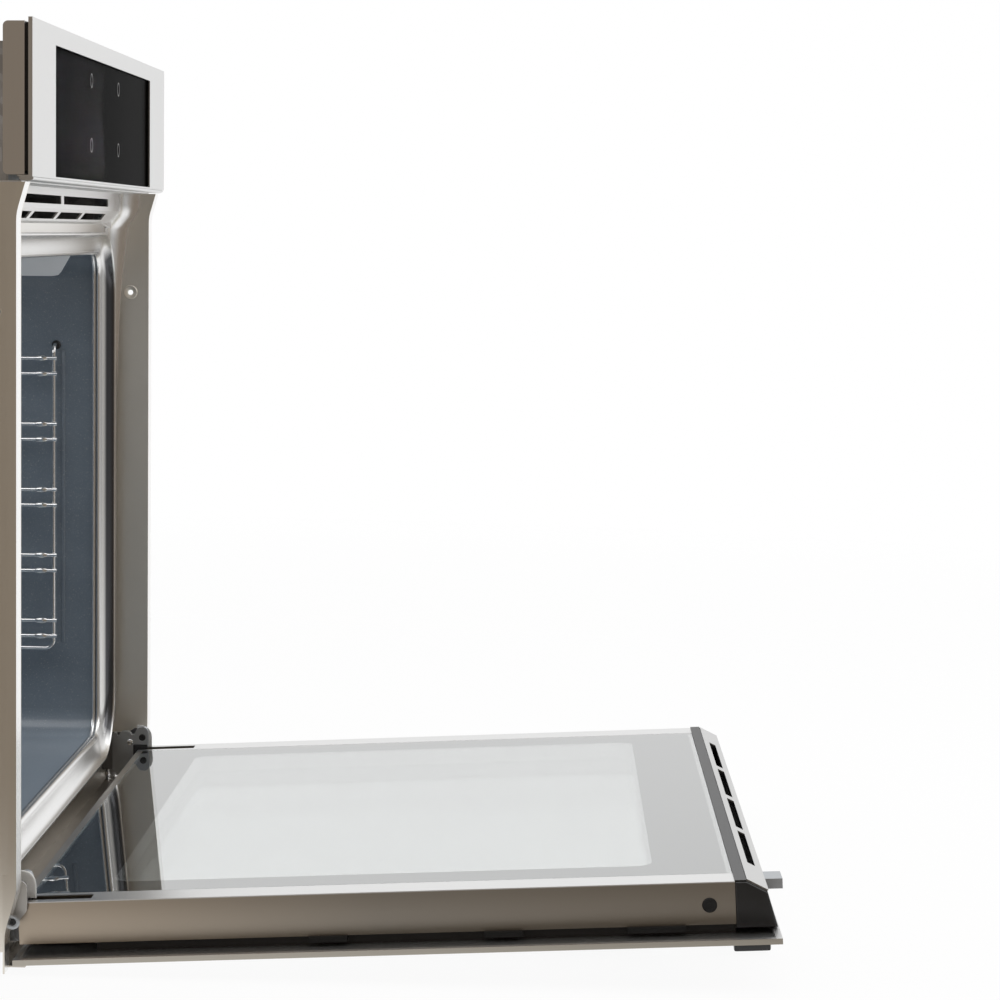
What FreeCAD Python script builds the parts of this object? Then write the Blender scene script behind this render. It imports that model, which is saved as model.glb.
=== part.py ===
"""Single wall oven with its door open: control section, front frame, casing, cavity, air system and door.

+Z is up, the front faces -Y and +X is to the right of someone who faces the front.
The origin is in the middle of the casing's base, which rests on the cabinet's shelf.
The door is drawn shut and then swung open about its hinge axis.
"""
import FreeCAD
import Part
import math
import os

import Sketcher
from FreeCAD import Placement, Rotation, Vector

SIZES = {
    # front frame and the room it takes in the cabinet
    "frame_width": 756.0,
    "frame_height": 737.0,
    "trim_drop": 12.0,
    "trim_stand": 23.0,
    "sheet": 1.2,
    "seat_gap": 0.3,
    "rim_width": 20.0,
    "rim_setback": 12.5,
    "rim_return": 6.0,
    "return_step": 77.0,
    "chin_setback": 21.6,
    "chin_low": 32.0,
    "chin_high": 64.0,
    "brow_setback": 5.5,
    "brow_drop": 4.0,
    "brow_rise": 24.0,
    "rim_bend": 40.0,
    "recess_back": 54.0,
    "recess_cove": 9.0,
    "cove_foot": 70.0,
    "lip_height": 5.0,
    "lip_slant": 3.0,
    "screw_hole": 5.5,
    "screw_hole_depth": 31.0,
    "screw_hole_height": 512.0,
    "head_height": 2.2,
    "head_radius": 4.0,
    "head_margin": 55.0,
    # control section
    "fascia_height": 121.0,
    "fascia_depth": 3.2,
    "fascia_lip": 12.0,
    "spacer_depth": 2.9,
    "spacer_inset": 4.0,
    "housing_depth": 16.7,
    "housing_drop": 3.0,
    "housing_round": 4.0,
    "housing_lip": 30.0,
    "bulkhead_margin": 20.0,
    "display_inset": 105.0,
    "display_margin": 15.0,
    "display_lip": 1.5,
    "display_recess": 2.2,
    "board_width": 320.0,
    "board_height": 70.0,
    "board_standoff": 4.5,
    "board_wall": 1.6,
    "board_edge": 8.0,
    "component_height": 6.0,
    # oven mouth and cavity
    "mouth_margin": 40.8,
    "mouth_drop": 27.0,
    "mouth_foot": 64.0,
    "mouth_round": 27.0,
    "gasket_width": 19.0,
    "gasket_gap": 0.5,
    "gasket_bead": 5.0,
    "back_room": 84.8,
    "liner_wall": 1.5,
    "liner_flange": 12.0,
    "insulation_wall": 19.0,
    "bake_room": 7.6,
    # casing
    "casing_depth": 610.0,
    "casing_drop": 17.0,
    "casing_play": 1.0,
    "base_lip": 18.0,
    "louvre_pitch": 16.0,
    "louvre_slit": 6.0,
    "louvre_start": 40.0,
    "louvre_rise": 45.0,
    "louvre_length": 60.0,
    "rear_pitch": 30.0,
    "rear_slit": 10.0,
    "deck_drop": 4.0,
    # grille over the mouth
    "grille_setback": 40.5,
    "grille_drop": 31.0,
    "knee_drop": 18.0,
    "long_slot_height": 7.5,
    "long_slot_drop": 14.0,
    "slot_margin": 88.8,
    "slot_bar": 14.0,
    "slot_edge": 3.0,
    "toe_run": 4.5,
    "toe_rise": 2.0,
    # ladders and elements
    "wire": 4.0,
    "ladder_inset": 16.0,
    "ladder_start": 44.8,
    "ladder_rear": 55.2,
    "ladder_foot": 90.6,
    "ladder_rise": 12.7,
    "ladder_pair": 15.6,
    "ladder_step": 66.0,
    "element_tube": 6.4,
    "element_bend": 26.0,
    "broil_drop": 24.0,
    "broil_margin": 96.0,
    "broil_setback": 140.0,
    "broil_inner": 40.0,
    "broil_middle": 120.0,
    "element_rear": 60.0,
    "hanger_depth": 200.0,
    "bake_margin": 116.0,
    "bake_inner": 50.0,
    "bake_loop": 60.0,
    "bake_front": 70.0,
    "bake_rear": 90.0,
    # hot air fan
    "fan_radius": 76.0,
    "fan_width": 24.0,
    "fan_hub": 16.0,
    "fan_setback": 30.0,
    "fan_wall": 1.6,
    "shaft_radius": 4.0,
    "running_gap": 0.05,
    "running_play": 3.0,
    "cover_half": 130.0,
    "cover_depth": 44.0,
    "cover_round": 24.0,
    "cover_edge": 8.0,
    "slit_pitch": 14.0,
    "slit_height": 8.0,
    "intake_radius": 64.0,
    "outlet_pitch": 36.0,
    "outlet_height": 24.0,
    "outlet_depth": 12.0,
    "ring_radius": 98.0,
    "motor_radius": 36.0,
    "motor_length": 58.0,
    "motor_foot": 18.0,
    "foot_height": 28.0,
    "element_setback": 16.0,
    # lamp and probe
    "lamp_radius": 26.0,
    "lamp_margin": 106.0,
    "lamp_drop": 89.0,
    "lens_depth": 13.0,
    "lens_round": 9.0,
    "socket_length": 34.0,
    "lamp_step": 6.0,
    "probe_length": 95.0,
    "probe_radius": 3.0,
    "probe_flange": 12.0,
    "flange_wall": 2.0,
    # cooling blower
    "blower_radius": 30.0,
    "blower_length": 220.0,
    "blower_depth": 240.0,
    "blower_play": 3.0,
    "drum_wall": 1.2,
    "drum_blade": 8.0,
    "end_play": 4.0,
    "blower_case": 46.0,
    "shaft_reach": 20.0,
    "duct_margin": 4.0,
    "duct_height": 30.0,
    "junction_width": 110.0,
    "junction_depth": 80.0,
    "junction_height": 60.0,
    "bushing_bore": 11.0,
    "bushing_length": 9.0,
    "bushing_wall": 8.0,
    "supply_rise": 40.0,
    "supply_play": 3.0,
    "lid_lap": 2.0,
    # hinges
    "hinge_depth": 14.3,
    "hinge_height": 20.8,
    "door_open_angle": 87.1,
    "hinge_inset": 15.0,
    "arm_wall": 6.0,
    "arm_front": 9.5,
    "arm_top": 74.0,
    "arm_foot": 14.5,
    "arm_slant": 20.0,
    "arm_brow": 17.0,
    "arm_round": 6.0,
    "pin_radius": 4.0,
    "cheek_wall": 1.5,
    "cheek_room": 12.0,
    "receiver_wall": 2.5,
    "receiver_play": 2.0,
    "plate_foot": 26.0,
    "plate_step": 62.0,
    "plate_top": 66.5,
    "plate_nose": 9.2,
    "lobe_width": 15.0,
    "lobe_round": 6.0,
    "leaf_wall": 0.8,
    "leaf_top": 57.0,
    "leaf_nose": 23.5,
    "block_low": 28.0,
    "block_top": 58.0,
    "stud_radius": 4.0,
    "rivet_depth": 29.0,
    "rivet_height": 52.0,
    "stud_height": 36.0,
    # door
    "door_foot": 19.0,
    "door_gap": 4.0,
    "door_depth": 42.0,
    "skin_hem": 4.4,
    "skin_hem_width": 5.0,
    "groove": 4.3,
    "clip_length": 30.0,
    "clip_proud": 4.0,
    "door_side_play": 11.8,
    "strip_width": 29.0,
    "cap_length": 33.0,
    "carrier_inset": 6.0,
    "hinge_slot": 14.0,
    "hinge_slot_length": 57.0,
    "pane": 4.0,
    "middle_pane": 22.0,
    "rail_height": 6.0,
    "window_side": 38.0,
    "window_low": 65.0,
    "window_top": 61.0,
    "window_lap": 18.0,
    "window_round": 8.0,
    "cap_band": 9.5,
    "cap_proud": 1.0,
    "cap_slope_length": 16.5,
    "cap_slope_depth": 9.0,
    "cap_wall": 2.2,
    "strip_wall": 1.0,
    "vent_slot": 123.0,
    "vent_pitch": 139.5,
    "vent_reach": 3.0,
    "handle_inset": 116.0,
    "handle_width": 30.0,
    "handle_wall": 10.0,
    "handle_reach": 34.0,
    "handle_round": 3.0,
    "post_radius": 8.0,
    "post_inset": 27.0,
    "tab_width": 26.0,
    "tab_inset": 58.0,
    "tab_wall": 8.0,
    "tab_depth": 25.0,
    "tab_rise": 7.0,
    "tab_root": 12.0,
}

doc = FreeCAD.newDocument("wall_oven")
sheet = doc.addObject("Spreadsheet::Sheet", "Sizes")
for row, (alias, number) in enumerate(SIZES.items(), start=1):
    sheet.set(f"A{row}", alias)
    sheet.set(f"B{row}", str(number))
    sheet.setAlias(f"B{row}", alias)
doc.recompute()


class Size:
    """A length worked out from the sheet, kept as the text of an expression."""

    def __init__(self, text):
        self.text = str(text)

    def __str__(self):
        return self.text

    def __add__(self, other):
        return Size(f"({self} + ({other}))")

    def __radd__(self, other):
        return Size(f"({other} + {self})")

    def __sub__(self, other):
        return Size(f"({self} - ({other}))")

    def __rsub__(self, other):
        return Size(f"({other} - {self})")

    def __mul__(self, other):
        return Size(f"({self} * ({other}))")

    __rmul__ = __mul__

    def __truediv__(self, other):
        return Size(f"({self} / ({other}))")

    def __neg__(self):
        return Size(f"(0 - {self})")

    def __float__(self):
        return float(sheet.evalExpression(self.text))


class Sheet:
    """Gives each cell of the sheet as a Size, by its alias."""

    def __getattr__(self, alias):
        return Size(f"Sizes.{alias}")


s = Sheet()
PIECES = {}


def keep(piece, name=None):
    """List a finished piece under its own name."""
    PIECES[name or piece.Label] = piece
    return piece


def bind(part, **texts):
    """Tie properties to expressions; a double underscore stands for a dot."""
    for path, text in texts.items():
        part.setExpression(path.replace("__", "."), str(text))


def place(part, x, y, z):
    bind(part, Placement__Base__x=x, Placement__Base__y=y, Placement__Base__z=z)


def box(name, x, y, z):
    """A block between two corners, given as (low, high) along each axis."""
    part = doc.addObject("Part::Box", name)
    bind(part, Length=Size(x[1]) - x[0], Width=Size(y[1]) - y[0], Height=Size(z[1]) - z[0])
    place(part, x[0], y[0], z[0])
    return part


TURNS = {
    "X": Rotation(Vector(0, 1, 0), 90),
    "Y": Rotation(Vector(1, 0, 0), -90),
    "Z": Rotation(),
}


def rod(name, axis, start, length, radius):
    """A round bar from its start point, along +X, +Y or +Z."""
    part = doc.addObject("Part::Cylinder", name)
    part.Placement = Placement(Vector(), TURNS[axis])
    bind(part, Radius=radius, Height=length)
    place(part, *start)
    return part


def fuse(name, *parts):
    whole = doc.addObject("Part::MultiFuse", name)
    whole.Shapes = list(parts)
    return whole


def cut(name, base, *tools):
    whole = doc.addObject("Part::Cut", name)
    whole.Base = base
    whole.Tool = tools[0] if len(tools) == 1 else fuse(name + "_tools", *tools)
    return whole


def group(name, *parts):
    whole = doc.addObject("Part::Compound", name)
    whole.Links = list(parts)
    return whole


def mirrored(name, source):
    """The same piece on the other side of the middle plane."""
    whole = doc.addObject("Part::Mirroring", name)
    whole.Source = source
    whole.Normal = Vector(1, 0, 0)
    return whole


# Each drawing plane: its role in the body's origin and its two axes.
PLANES = {"XY": ("XY_Plane", "xy"), "XZ": ("XZ_Plane", "xz"), "YZ": ("YZ_Plane", "yz")}


def draw(body, plane, loops, low, high):
    """A fully sized sketch of polygons and circles, on the side of the solid where its pad starts."""
    role = PLANES[plane][0]
    sketch = body.newObject("Sketcher::SketchObject", body.Name + "_sketch")
    sketch.AttachmentSupport = [([o for o in body.Origin.OriginFeatures if o.Role == role][0], "")]
    sketch.MapMode = "FlatFace"
    bind(sketch, AttachmentOffset__Base__z=-Size(high) if plane == "XZ" else Size(low))
    for loop in loops:
        if loop[0] == "circle":
            draw_circle(sketch, *loop[1:])
        else:
            draw_polygon(sketch, loop)
    return sketch


def pin_point(sketch, line, end, point):
    for kind, size in zip(("DistanceX", "DistanceY"), point):
        size = Size(size)
        index = sketch.addConstraint(Sketcher.Constraint(kind, -1, 1, line, end, float(size)))
        sketch.setExpression(f"Constraints[{index}]", str(size))


def draw_polygon(sketch, points):
    corners = [Vector(float(Size(u)), float(Size(v)), 0) for u, v in points]
    first = sketch.GeometryCount
    count = len(points)
    for i in range(count):
        sketch.addGeometry(Part.LineSegment(corners[i], corners[(i + 1) % count]), False)
    for i in range(count):
        sketch.addConstraint(Sketcher.Constraint("Coincident", first + i, 2, first + (i + 1) % count, 1))
    for i, point in enumerate(points):
        pin_point(sketch, first + i, 1, point)


def draw_circle(sketch, u, v, radius):
    middle = Vector(float(Size(u)), float(Size(v)), 0)
    line = sketch.addGeometry(Part.Circle(middle, Vector(0, 0, 1), float(Size(radius))), False)
    index = sketch.addConstraint(Sketcher.Constraint("Radius", line, float(Size(radius))))
    sketch.setExpression(f"Constraints[{index}]", str(radius))
    pin_point(sketch, line, 3, (u, v))


def pad(body, plane, loops, low, high):
    sketch = draw(body, plane, loops, low, high)
    feature = body.newObject("PartDesign::Pad", body.Name + "_pad")
    feature.Profile = sketch
    bind(feature, Length=Size(high) - low)
    return feature


def profile(name, plane, loops, low, high, rounds=None):
    """A drawn outline padded between two levels, with some of its corners rounded.

    rounds lists each radius with the corner points that take it.
    """
    body = doc.addObject("PartDesign::Body", name)
    pad(body, plane, loops, low, high)
    for radius, points in rounds or []:
        round_corners(body, plane, points, radius)
    return body


def round_corners(body, plane, points, radius):
    """Round the edges that stand on the given corner points of the outline."""
    doc.recompute()
    axes = PLANES[plane][1]
    spots = [(float(Size(u)), float(Size(v))) for u, v in points]

    def on_corner(edge):
        ends = [(getattr(v.Point, axes[0]), getattr(v.Point, axes[1])) for v in edge.Vertexes]
        return any(all(math.dist(end, spot) < 0.01 for end in ends) for spot in spots)

    fillet_where(body, radius, on_corner)


def fillet_where(body, radius, wanted):
    doc.recompute()
    tip = body.Tip
    names = [f"Edge{i}" for i, edge in enumerate(tip.Shape.Edges, start=1) if wanted(edge)]
    feature = body.newObject("PartDesign::Fillet", body.Name + "_round")
    feature.Base = (tip, names)
    bind(feature, Radius=radius)


def rectangle(u, v):
    """Corner points of an upright rectangle, from its (low, high) along each axis."""
    return [(u[0], v[0]), (u[1], v[0]), (u[1], v[1]), (u[0], v[1])]


def rounded_block(name, plane, u, v, low, high, radius):
    corners = rectangle(u, v)
    return profile(name, plane, [corners], low, high, [(radius, corners)])


def bent_tube(name, points, radius, bend):
    """Round wire or tube: straight runs joined by tangent bends; points are in millimetres."""
    solids = []
    start = points[0]
    for before, corner, after in zip(points, points[1:], points[2:]):
        back = (before - corner).normalize()
        ahead = (after - corner).normalize()
        half_turn = (math.pi - back.getAngle(ahead)) / 2
        leg = bend * math.tan(half_turn)
        enter = corner + back * leg
        centre = corner + (back + ahead).normalize() * (bend / math.cos(half_turn))
        solids.append(Part.makeCylinder(radius, (enter - start).Length, start, enter - start))
        disc = Part.Face(Part.Wire(Part.makeCircle(radius, enter, back)))
        solids.append(disc.revolve(centre, ahead.cross(back), math.degrees(2 * half_turn)))
        start = corner + ahead * leg
    run = points[-1] - start
    solids.append(Part.makeCylinder(radius, run.Length, start, run))
    part = doc.addObject("Part::Feature", name)
    part.Shape = solids[0].multiFuse(solids[1:]).removeSplitter()
    return part


def spot(x, y, z):
    return Vector(float(Size(x)), float(Size(y)), float(Size(z)))


# How far a cutting tool runs past the faces it cuts.
CLEAR = Size(10)

half = s.frame_width / 2
front = -(s.recess_back + s.casing_depth) / 2
sill = -s.trim_drop


def deep(depth):
    """y of a plane that far behind the fascia's face."""
    return front + depth


def high(height):
    """z of a level that far above the frame's lowest edge."""
    return sill + height


def at_depth(depth):
    """Test for edges that lie that far behind the fascia's face."""
    level = float(deep(depth))
    return lambda edge: all(abs(v.Point.y - level) < 0.01 for v in edge.Vertexes)


# Levels, as heights above the frame's lowest edge, from the control section down
crown = high(s.frame_height)
casing_top = high(s.frame_height - s.casing_drop)
fascia_foot = s.frame_height - s.fascia_height
brow_high = fascia_foot - s.brow_drop
brow_low = brow_high - s.brow_rise
grille_low = brow_high - s.grille_drop
grille_knee = brow_high - s.knee_drop
long_slot_low = brow_high - s.long_slot_drop
deck_height = grille_low - s.deck_drop
mouth_top = grille_low - s.mouth_drop
lamp_height = mouth_top - s.lamp_drop

# Half widths, from the frame inwards
wall_out = half - s.rim_width
wall_in = wall_out - s.sheet
display_half = half - s.display_inset
handle_half = half - s.handle_inset
slot_reach = wall_in - s.slot_margin
mouth_half = wall_in - s.mouth_margin
lamp_side = mouth_half - s.lamp_margin
door_side_half = wall_in - s.door_side_play
hinge_line = door_side_half - s.hinge_inset
tab_side = door_side_half - s.tab_inset

plate_back = s.recess_back + s.sheet


# Front frame


def rim_curve(offset):
    """Side view of the rim's face, set back by an offset: chin low, brow at the top."""
    return [
        (deep(s.chin_setback + offset), high(0)),
        (deep(s.chin_setback + offset), high(s.chin_low)),
        (deep(s.rim_setback + offset), high(s.chin_high)),
        (deep(s.rim_setback + offset), high(brow_low)),
        (deep(s.brow_setback + offset), high(brow_high)),
    ]


def rim_block(name, offset, back, low, high_x):
    curve = rim_curve(offset)
    outline = curve + [(deep(back), high(brow_high)), (deep(back), high(0))]
    return profile(name, "YZ", [outline], low, high_x, [(s.rim_bend, curve[1:4])])


def side_trim():
    """Right-hand trim: rim, wall of the recess and the return down its outer edge.

    Nothing of it reaches into the cabinet's face or its shelf.
    """
    past = s.recess_back + CLEAR
    whole = rim_block("trim_block", 0, s.recess_back, wall_in, half)
    hollow = rim_block("trim_hollow", s.sheet, past, wall_out, half - s.sheet)
    edge = rim_block("trim_edge", s.rim_return, past, wall_out, half + CLEAR)
    foot = box("trim_foot", (wall_out - CLEAR, half + CLEAR * 2), (deep(-CLEAR), deep(past + CLEAR)),
               (high(-CLEAR), high(s.return_step)))
    behind = cut("trim_behind", edge, foot)
    face = box("cabinet_face", (wall_out, half + CLEAR), (deep(s.trim_stand), deep(past)),
               (high(-CLEAR), high(brow_high)))
    shelf = box("cabinet_shelf", (wall_in - CLEAR, half + CLEAR), (deep(s.trim_stand), deep(past)),
                (high(-CLEAR), high(s.trim_drop)))
    hole = rod(
        "trim_hole", "X", (wall_in - CLEAR, deep(s.screw_hole_depth), high(s.screw_hole_height)),
        s.sheet + CLEAR * 2, s.screw_hole / 2)
    return cut("side_trim_right", whole, hollow, behind, face, shelf, hole)


def recess_cove(name):
    """Rounded corner between the right-hand wall of the recess and its back.

    Its two edges end a little thick, as sheet does.
    """
    x = wall_in - s.recess_cove
    y = deep(s.recess_back - s.recess_cove)
    foot = high(s.cove_foot)
    corner = box(name + "_corner", (x, wall_in), (y, deep(s.recess_back)), (foot, high(grille_low)))
    bend = rod(name + "_bend", "Z", (x, y, foot - CLEAR), grille_low - s.cove_foot + CLEAR * 2,
               s.recess_cove - s.seat_gap)
    return cut(name, corner, bend)


def mouth_frame():
    """Back of the recess, with the oven's mouth in it and its sides rounded forward."""
    sheet = box("mouth_sheet", (-wall_in, wall_in), (deep(s.recess_back), deep(plate_back)),
                (high(s.trim_drop), high(grille_low)))
    cove = recess_cove("recess_cove_right")
    plate = fuse("mouth_plate", sheet, cove, mirrored("recess_cove_left", cove))
    mouth = rounded_block(
        "mouth_hole", "XZ", (-mouth_half, mouth_half), (high(s.mouth_foot), high(mouth_top)),
        deep(s.recess_back - CLEAR), deep(plate_back + CLEAR), s.mouth_round)
    return cut("mouth_frame", plate, mouth)


def door_gasket():
    """Bead round the mouth that the shut door's inner pane meets."""
    reach = s.gasket_width
    face = s.door_depth + s.gasket_gap
    outer = rounded_block(
        "gasket_outer", "XZ", (-mouth_half - reach, mouth_half + reach),
        (high(s.mouth_foot - reach), high(mouth_top + reach)),
        deep(face), deep(s.recess_back), s.mouth_round + reach)
    mouth = rectangle((-mouth_half, mouth_half), (high(s.mouth_foot), high(mouth_top)))
    pocket = outer.newObject("PartDesign::Pocket", "gasket_hole")
    pocket.Profile = draw(outer, "XZ", [mouth], deep(face), deep(s.recess_back))
    pocket.Reversed = True
    bind(pocket, Length=s.recess_back - face)
    round_corners(outer, "XZ", mouth, s.mouth_round)
    fillet_where(outer, s.gasket_bead, at_depth(face))
    return outer


def vent_grille():
    """Folded sheet between the recess and the control section, with two rows of slots."""
    back = s.recess_back
    w = s.sheet
    toe = back - s.toe_run
    fold = [
        (deep(s.rim_setback), high(brow_high)),
        (deep(s.grille_setback), high(brow_high)),
        (deep(s.grille_setback), high(grille_knee)),
        (deep(toe), high(grille_low + s.toe_rise)),
        (deep(back), high(grille_low)),
    ]
    rear = [
        (deep(back + w), high(grille_low)),
        (deep(toe + w), high(grille_low + s.toe_rise + w)),
        (deep(s.grille_setback + w), high(grille_knee + w)),
        (deep(s.grille_setback + w), high(brow_high + w)),
        (deep(s.rim_setback), high(brow_high + w)),
    ]
    sheet_metal = profile("grille_sheet", "YZ", [fold + rear], -wall_in, wall_in)
    slots = []
    bar = s.slot_bar / 2
    half_way = slot_reach / 2
    upper = (high(long_slot_low), high(long_slot_low + s.long_slot_height))
    lower = (high(grille_low + s.toe_rise * 2), high(grille_knee - s.slot_edge))
    short = deep(s.grille_setback - s.slot_edge)
    for start, end, reach, levels in (
        (bar, slot_reach, s.grille_setback + s.slot_edge, upper),
        (bar, half_way - bar, back + s.slot_edge, lower),
        (half_way + bar, slot_reach, back + s.slot_edge, lower),
    ):
        for side in ((start, end), (-end, -start)):
            slots.append(box("slot", side, (short, deep(reach)), levels))
    room = s.tab_width / 2 + s.slot_edge
    slots.append(box("tab_slot", (-tab_side - room, -tab_side + room),
                     (deep(s.tab_depth - s.slot_edge), deep(s.tab_depth + s.tab_wall + s.slot_edge)),
                     (high(brow_high - s.slot_edge), high(brow_high + w + s.slot_edge))))
    return cut("vent_grille", sheet_metal, *slots)


def bottom_trim():
    """Lip under the door and the floor behind it, which steps up to the cabinet's shelf."""
    w = s.sheet
    nose = s.brow_setback + w
    slant = s.lip_slant
    step = s.trim_drop
    under = [
        (deep(nose), high(slant)),
        (deep(nose + slant), high(0)),
        (deep(s.trim_stand), high(0)),
        (deep(s.trim_stand), high(step)),
        (deep(s.recess_back), high(step)),
    ]
    over = [
        (deep(s.recess_back), high(step + w)),
        (deep(s.trim_stand - w), high(step + w)),
        (deep(s.trim_stand - w), high(w)),
        (deep(nose + slant + w), high(w)),
        (deep(nose + w), high(slant + w)),
        (deep(nose + w), high(s.lip_height)),
        (deep(nose), high(s.lip_height)),
    ]
    return profile("bottom_trim", "YZ", [under + over], -wall_in, wall_in)


def mouth_screws():
    """Pan heads that hold the mouth frame, beside the gasket."""
    heads = []
    aside = (mouth_half + s.gasket_width + wall_in - s.recess_cove) / 2
    for x in (-1, 1):
        for level in (s.mouth_foot + s.head_margin, mouth_top - s.head_margin):
            start = (x * aside, deep(s.recess_back - s.head_height), high(level))
            heads.append(rod("screw_head", "Y", start, s.head_height, s.head_radius))
    return group("mouth_screws", *heads)


keep(side_trim())
keep(mirrored("side_trim_left", PIECES["side_trim_right"]))
keep(mouth_frame())
keep(door_gasket(), "door_gasket")
keep(vent_grille())
keep(bottom_trim())
keep(mouth_screws())


# Control section

housing_front = s.fascia_depth + s.spacer_depth
housing_back = housing_front + s.housing_depth
display_low = fascia_foot + s.display_lip
display_high = s.frame_height - s.display_margin


def control_fascia():
    """Steel front folded back all round, with a lip over the door and an opening for the display."""
    w = s.sheet
    whole = box("fascia_block", (-half, half), (deep(0), deep(s.fascia_depth)), (high(fascia_foot), crown))
    inside = box("fascia_inside", (-half + w, half - w), (deep(w), deep(s.fascia_depth + CLEAR)),
                 (high(fascia_foot + w), crown - w))
    opening = box("fascia_opening", (-display_half, display_half), (deep(-CLEAR), deep(s.fascia_depth)),
                  (high(display_low), high(display_high)))
    lip = box("fascia_lip", (-half + w, half - w), (deep(s.fascia_depth), deep(s.fascia_lip)),
              (high(fascia_foot), high(fascia_foot + w)))
    return fuse("control_fascia", cut("fascia_shell", whole, inside, opening), lip)


def control_spacer():
    """Black seal between the fascia and its housing, round the display."""
    inset = s.spacer_inset
    gap = s.seat_gap
    ring = box("spacer_block", (-half + inset, half - inset), (deep(s.sheet), deep(housing_front)),
               (high(fascia_foot + inset), crown - inset))
    room = box("spacer_room", (-display_half - gap, display_half + gap), (deep(0), deep(housing_front + CLEAR)),
               (high(display_low - CLEAR), high(display_high + gap)))
    return cut("control_spacer", ring, room)


def control_housing():
    """Steel tray behind the fascia, open at the back, its ends rounded."""
    w = s.sheet
    lip = s.housing_lip
    foot = fascia_foot + w + s.seat_gap
    top = s.frame_height - s.housing_drop
    corners = rectangle((deep(housing_front), deep(housing_back)), (high(foot), high(top)))
    tray = profile("housing_block", "YZ", [corners], -half, half, [(s.housing_round, corners[1:3])])
    inside = box("housing_inside", (-half + w, half - w), (deep(housing_front + w), deep(housing_back - w)),
                 (high(foot + w), high(top - w)))
    way_in = box("housing_way_in", (-half + lip, half - lip),
                 (deep(housing_back - CLEAR), deep(housing_back + CLEAR)), (high(foot + lip), high(top - lip)))
    return cut("control_housing", tray, inside, way_in)


def display_glass():
    """Black touch glass set a little behind the fascia's face."""
    gap = s.seat_gap
    return box("display_glass", (-display_half + gap, display_half - gap),
               (deep(s.display_recess), deep(housing_front)),
               (high(display_low + gap), high(display_high - gap)))


# Left end, right end and half height of each component, as shares of the board's half sizes.
COMPONENTS = ((-0.75, -0.5, 0.43), (-0.31, -0.16, 0.34), (0.06, 0.44, 0.26), (0.62, 0.85, 0.57))


def control_board():
    """Circuit board on four standoffs, with its larger components."""
    middle = high((fascia_foot + s.frame_height) / 2)
    seat = housing_front + s.sheet
    face = seat + s.board_standoff
    rear = face + s.board_wall
    wide = s.board_width / 2
    tall = s.board_height / 2
    parts = [box("board_plate", (-wide, wide), (deep(face), deep(rear)), (middle - tall, middle + tall))]
    for x in (-1, 1):
        for z in (-1, 1):
            start = (x * (wide - s.board_edge), deep(seat), middle + z * (tall - s.board_edge))
            parts.append(rod("standoff", "Y", start, s.board_standoff, s.board_edge * 0.4))
    for left, right, share in COMPONENTS:
        parts.append(box("component", (wide * left, wide * right),
                         (deep(rear), deep(rear + s.component_height)),
                         (middle - tall * share, middle + tall * share)))
    return fuse("control_board", *parts)


def front_bulkhead():
    """Upright sheet over the vent grille that carries the control section."""
    side = wall_in - s.casing_play
    back = housing_back + s.sheet
    margin = s.bulkhead_margin
    plate = box("bulkhead_plate", (-side, side), (deep(housing_back), deep(back)),
                (high(brow_high + s.sheet), casing_top - s.sheet))
    window = box("bulkhead_window", (-s.board_width / 2, s.board_width / 2),
                 (deep(housing_back - CLEAR), deep(back + CLEAR)),
                 (high(fascia_foot + margin), casing_top - margin))
    return cut("front_bulkhead", plate, window)


for piece in (
    control_fascia, control_spacer, control_housing, display_glass, control_board, front_bulkhead,
):
    keep(piece())


# Casing

casing_out = wall_in
casing_in = casing_out - s.sheet
casing_front = deep(plate_back)
casing_back = deep(s.casing_depth)
upper_front = deep(housing_back + s.sheet)


def base_pan():
    """Floor of the casing, with upturned edges inside the side panels."""
    w = s.sheet
    rear = casing_back - w
    tray = box("base_tray", (-casing_in, casing_in), (casing_front, rear), (Size(0), s.base_lip))
    inside = box("base_inside", (-casing_in + w, casing_in - w), (casing_front + w, rear - w),
                 (w, s.base_lip + CLEAR))
    return cut("base_pan", tray, inside)


# Louvres in a side wall and in the back, and how many of the latter lie left of the middle.
SIDE_LOUVRES = 8
REAR_LOUVRES = 9
REAR_FIRST = 2


def side_panel():
    """Right-hand casing wall: it steps forward above the grille, and has cooling louvres there."""
    step = high(brow_high + s.sheet)
    rear = casing_back - s.sheet
    top = casing_top - s.sheet
    outline = [
        (casing_front, Size(0)), (rear, Size(0)), (rear, top),
        (upper_front, top), (upper_front, step), (casing_front, step),
    ]
    wall = profile("side_wall", "YZ", [outline], casing_in, casing_out)
    low = high(deck_height + s.louvre_rise)
    louvres = []
    for i in range(SIDE_LOUVRES):
        start = casing_front + s.louvre_start + s.louvre_pitch * i
        louvres.append(box("louvre", (casing_in - CLEAR, casing_out + CLEAR), (start, start + s.louvre_slit),
                           (low, low + s.louvre_length)))
    return cut("side_panel_right", wall, *louvres)


def rear_panel():
    """Back of the casing with louvres at its top and the supply's hole."""
    wall = box("rear_wall", (-casing_out, casing_out), (casing_back - s.sheet, casing_back),
               (Size(0), casing_top - s.sheet))
    start = (-lamp_side, casing_back - CLEAR, high(deck_height + s.supply_rise))
    openings = [rod("supply_hole", "Y", start, CLEAR * 2, s.bushing_bore + s.supply_play)]
    low = high(deck_height + s.louvre_rise)
    for i in range(REAR_LOUVRES):
        middle = s.rear_pitch * (i - REAR_FIRST)
        openings.append(box("rear_louvre", (middle - s.rear_slit / 2, middle + s.rear_slit / 2),
                            (casing_back - CLEAR, casing_back + CLEAR), (low, low + s.louvre_length)))
    return cut("rear_panel", wall, *openings)


def top_cover():
    """Lid over the cooling space."""
    return box("top_cover", (-casing_out, casing_out), (upper_front - s.sheet, casing_back),
               (casing_top - s.sheet, casing_top))


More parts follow.
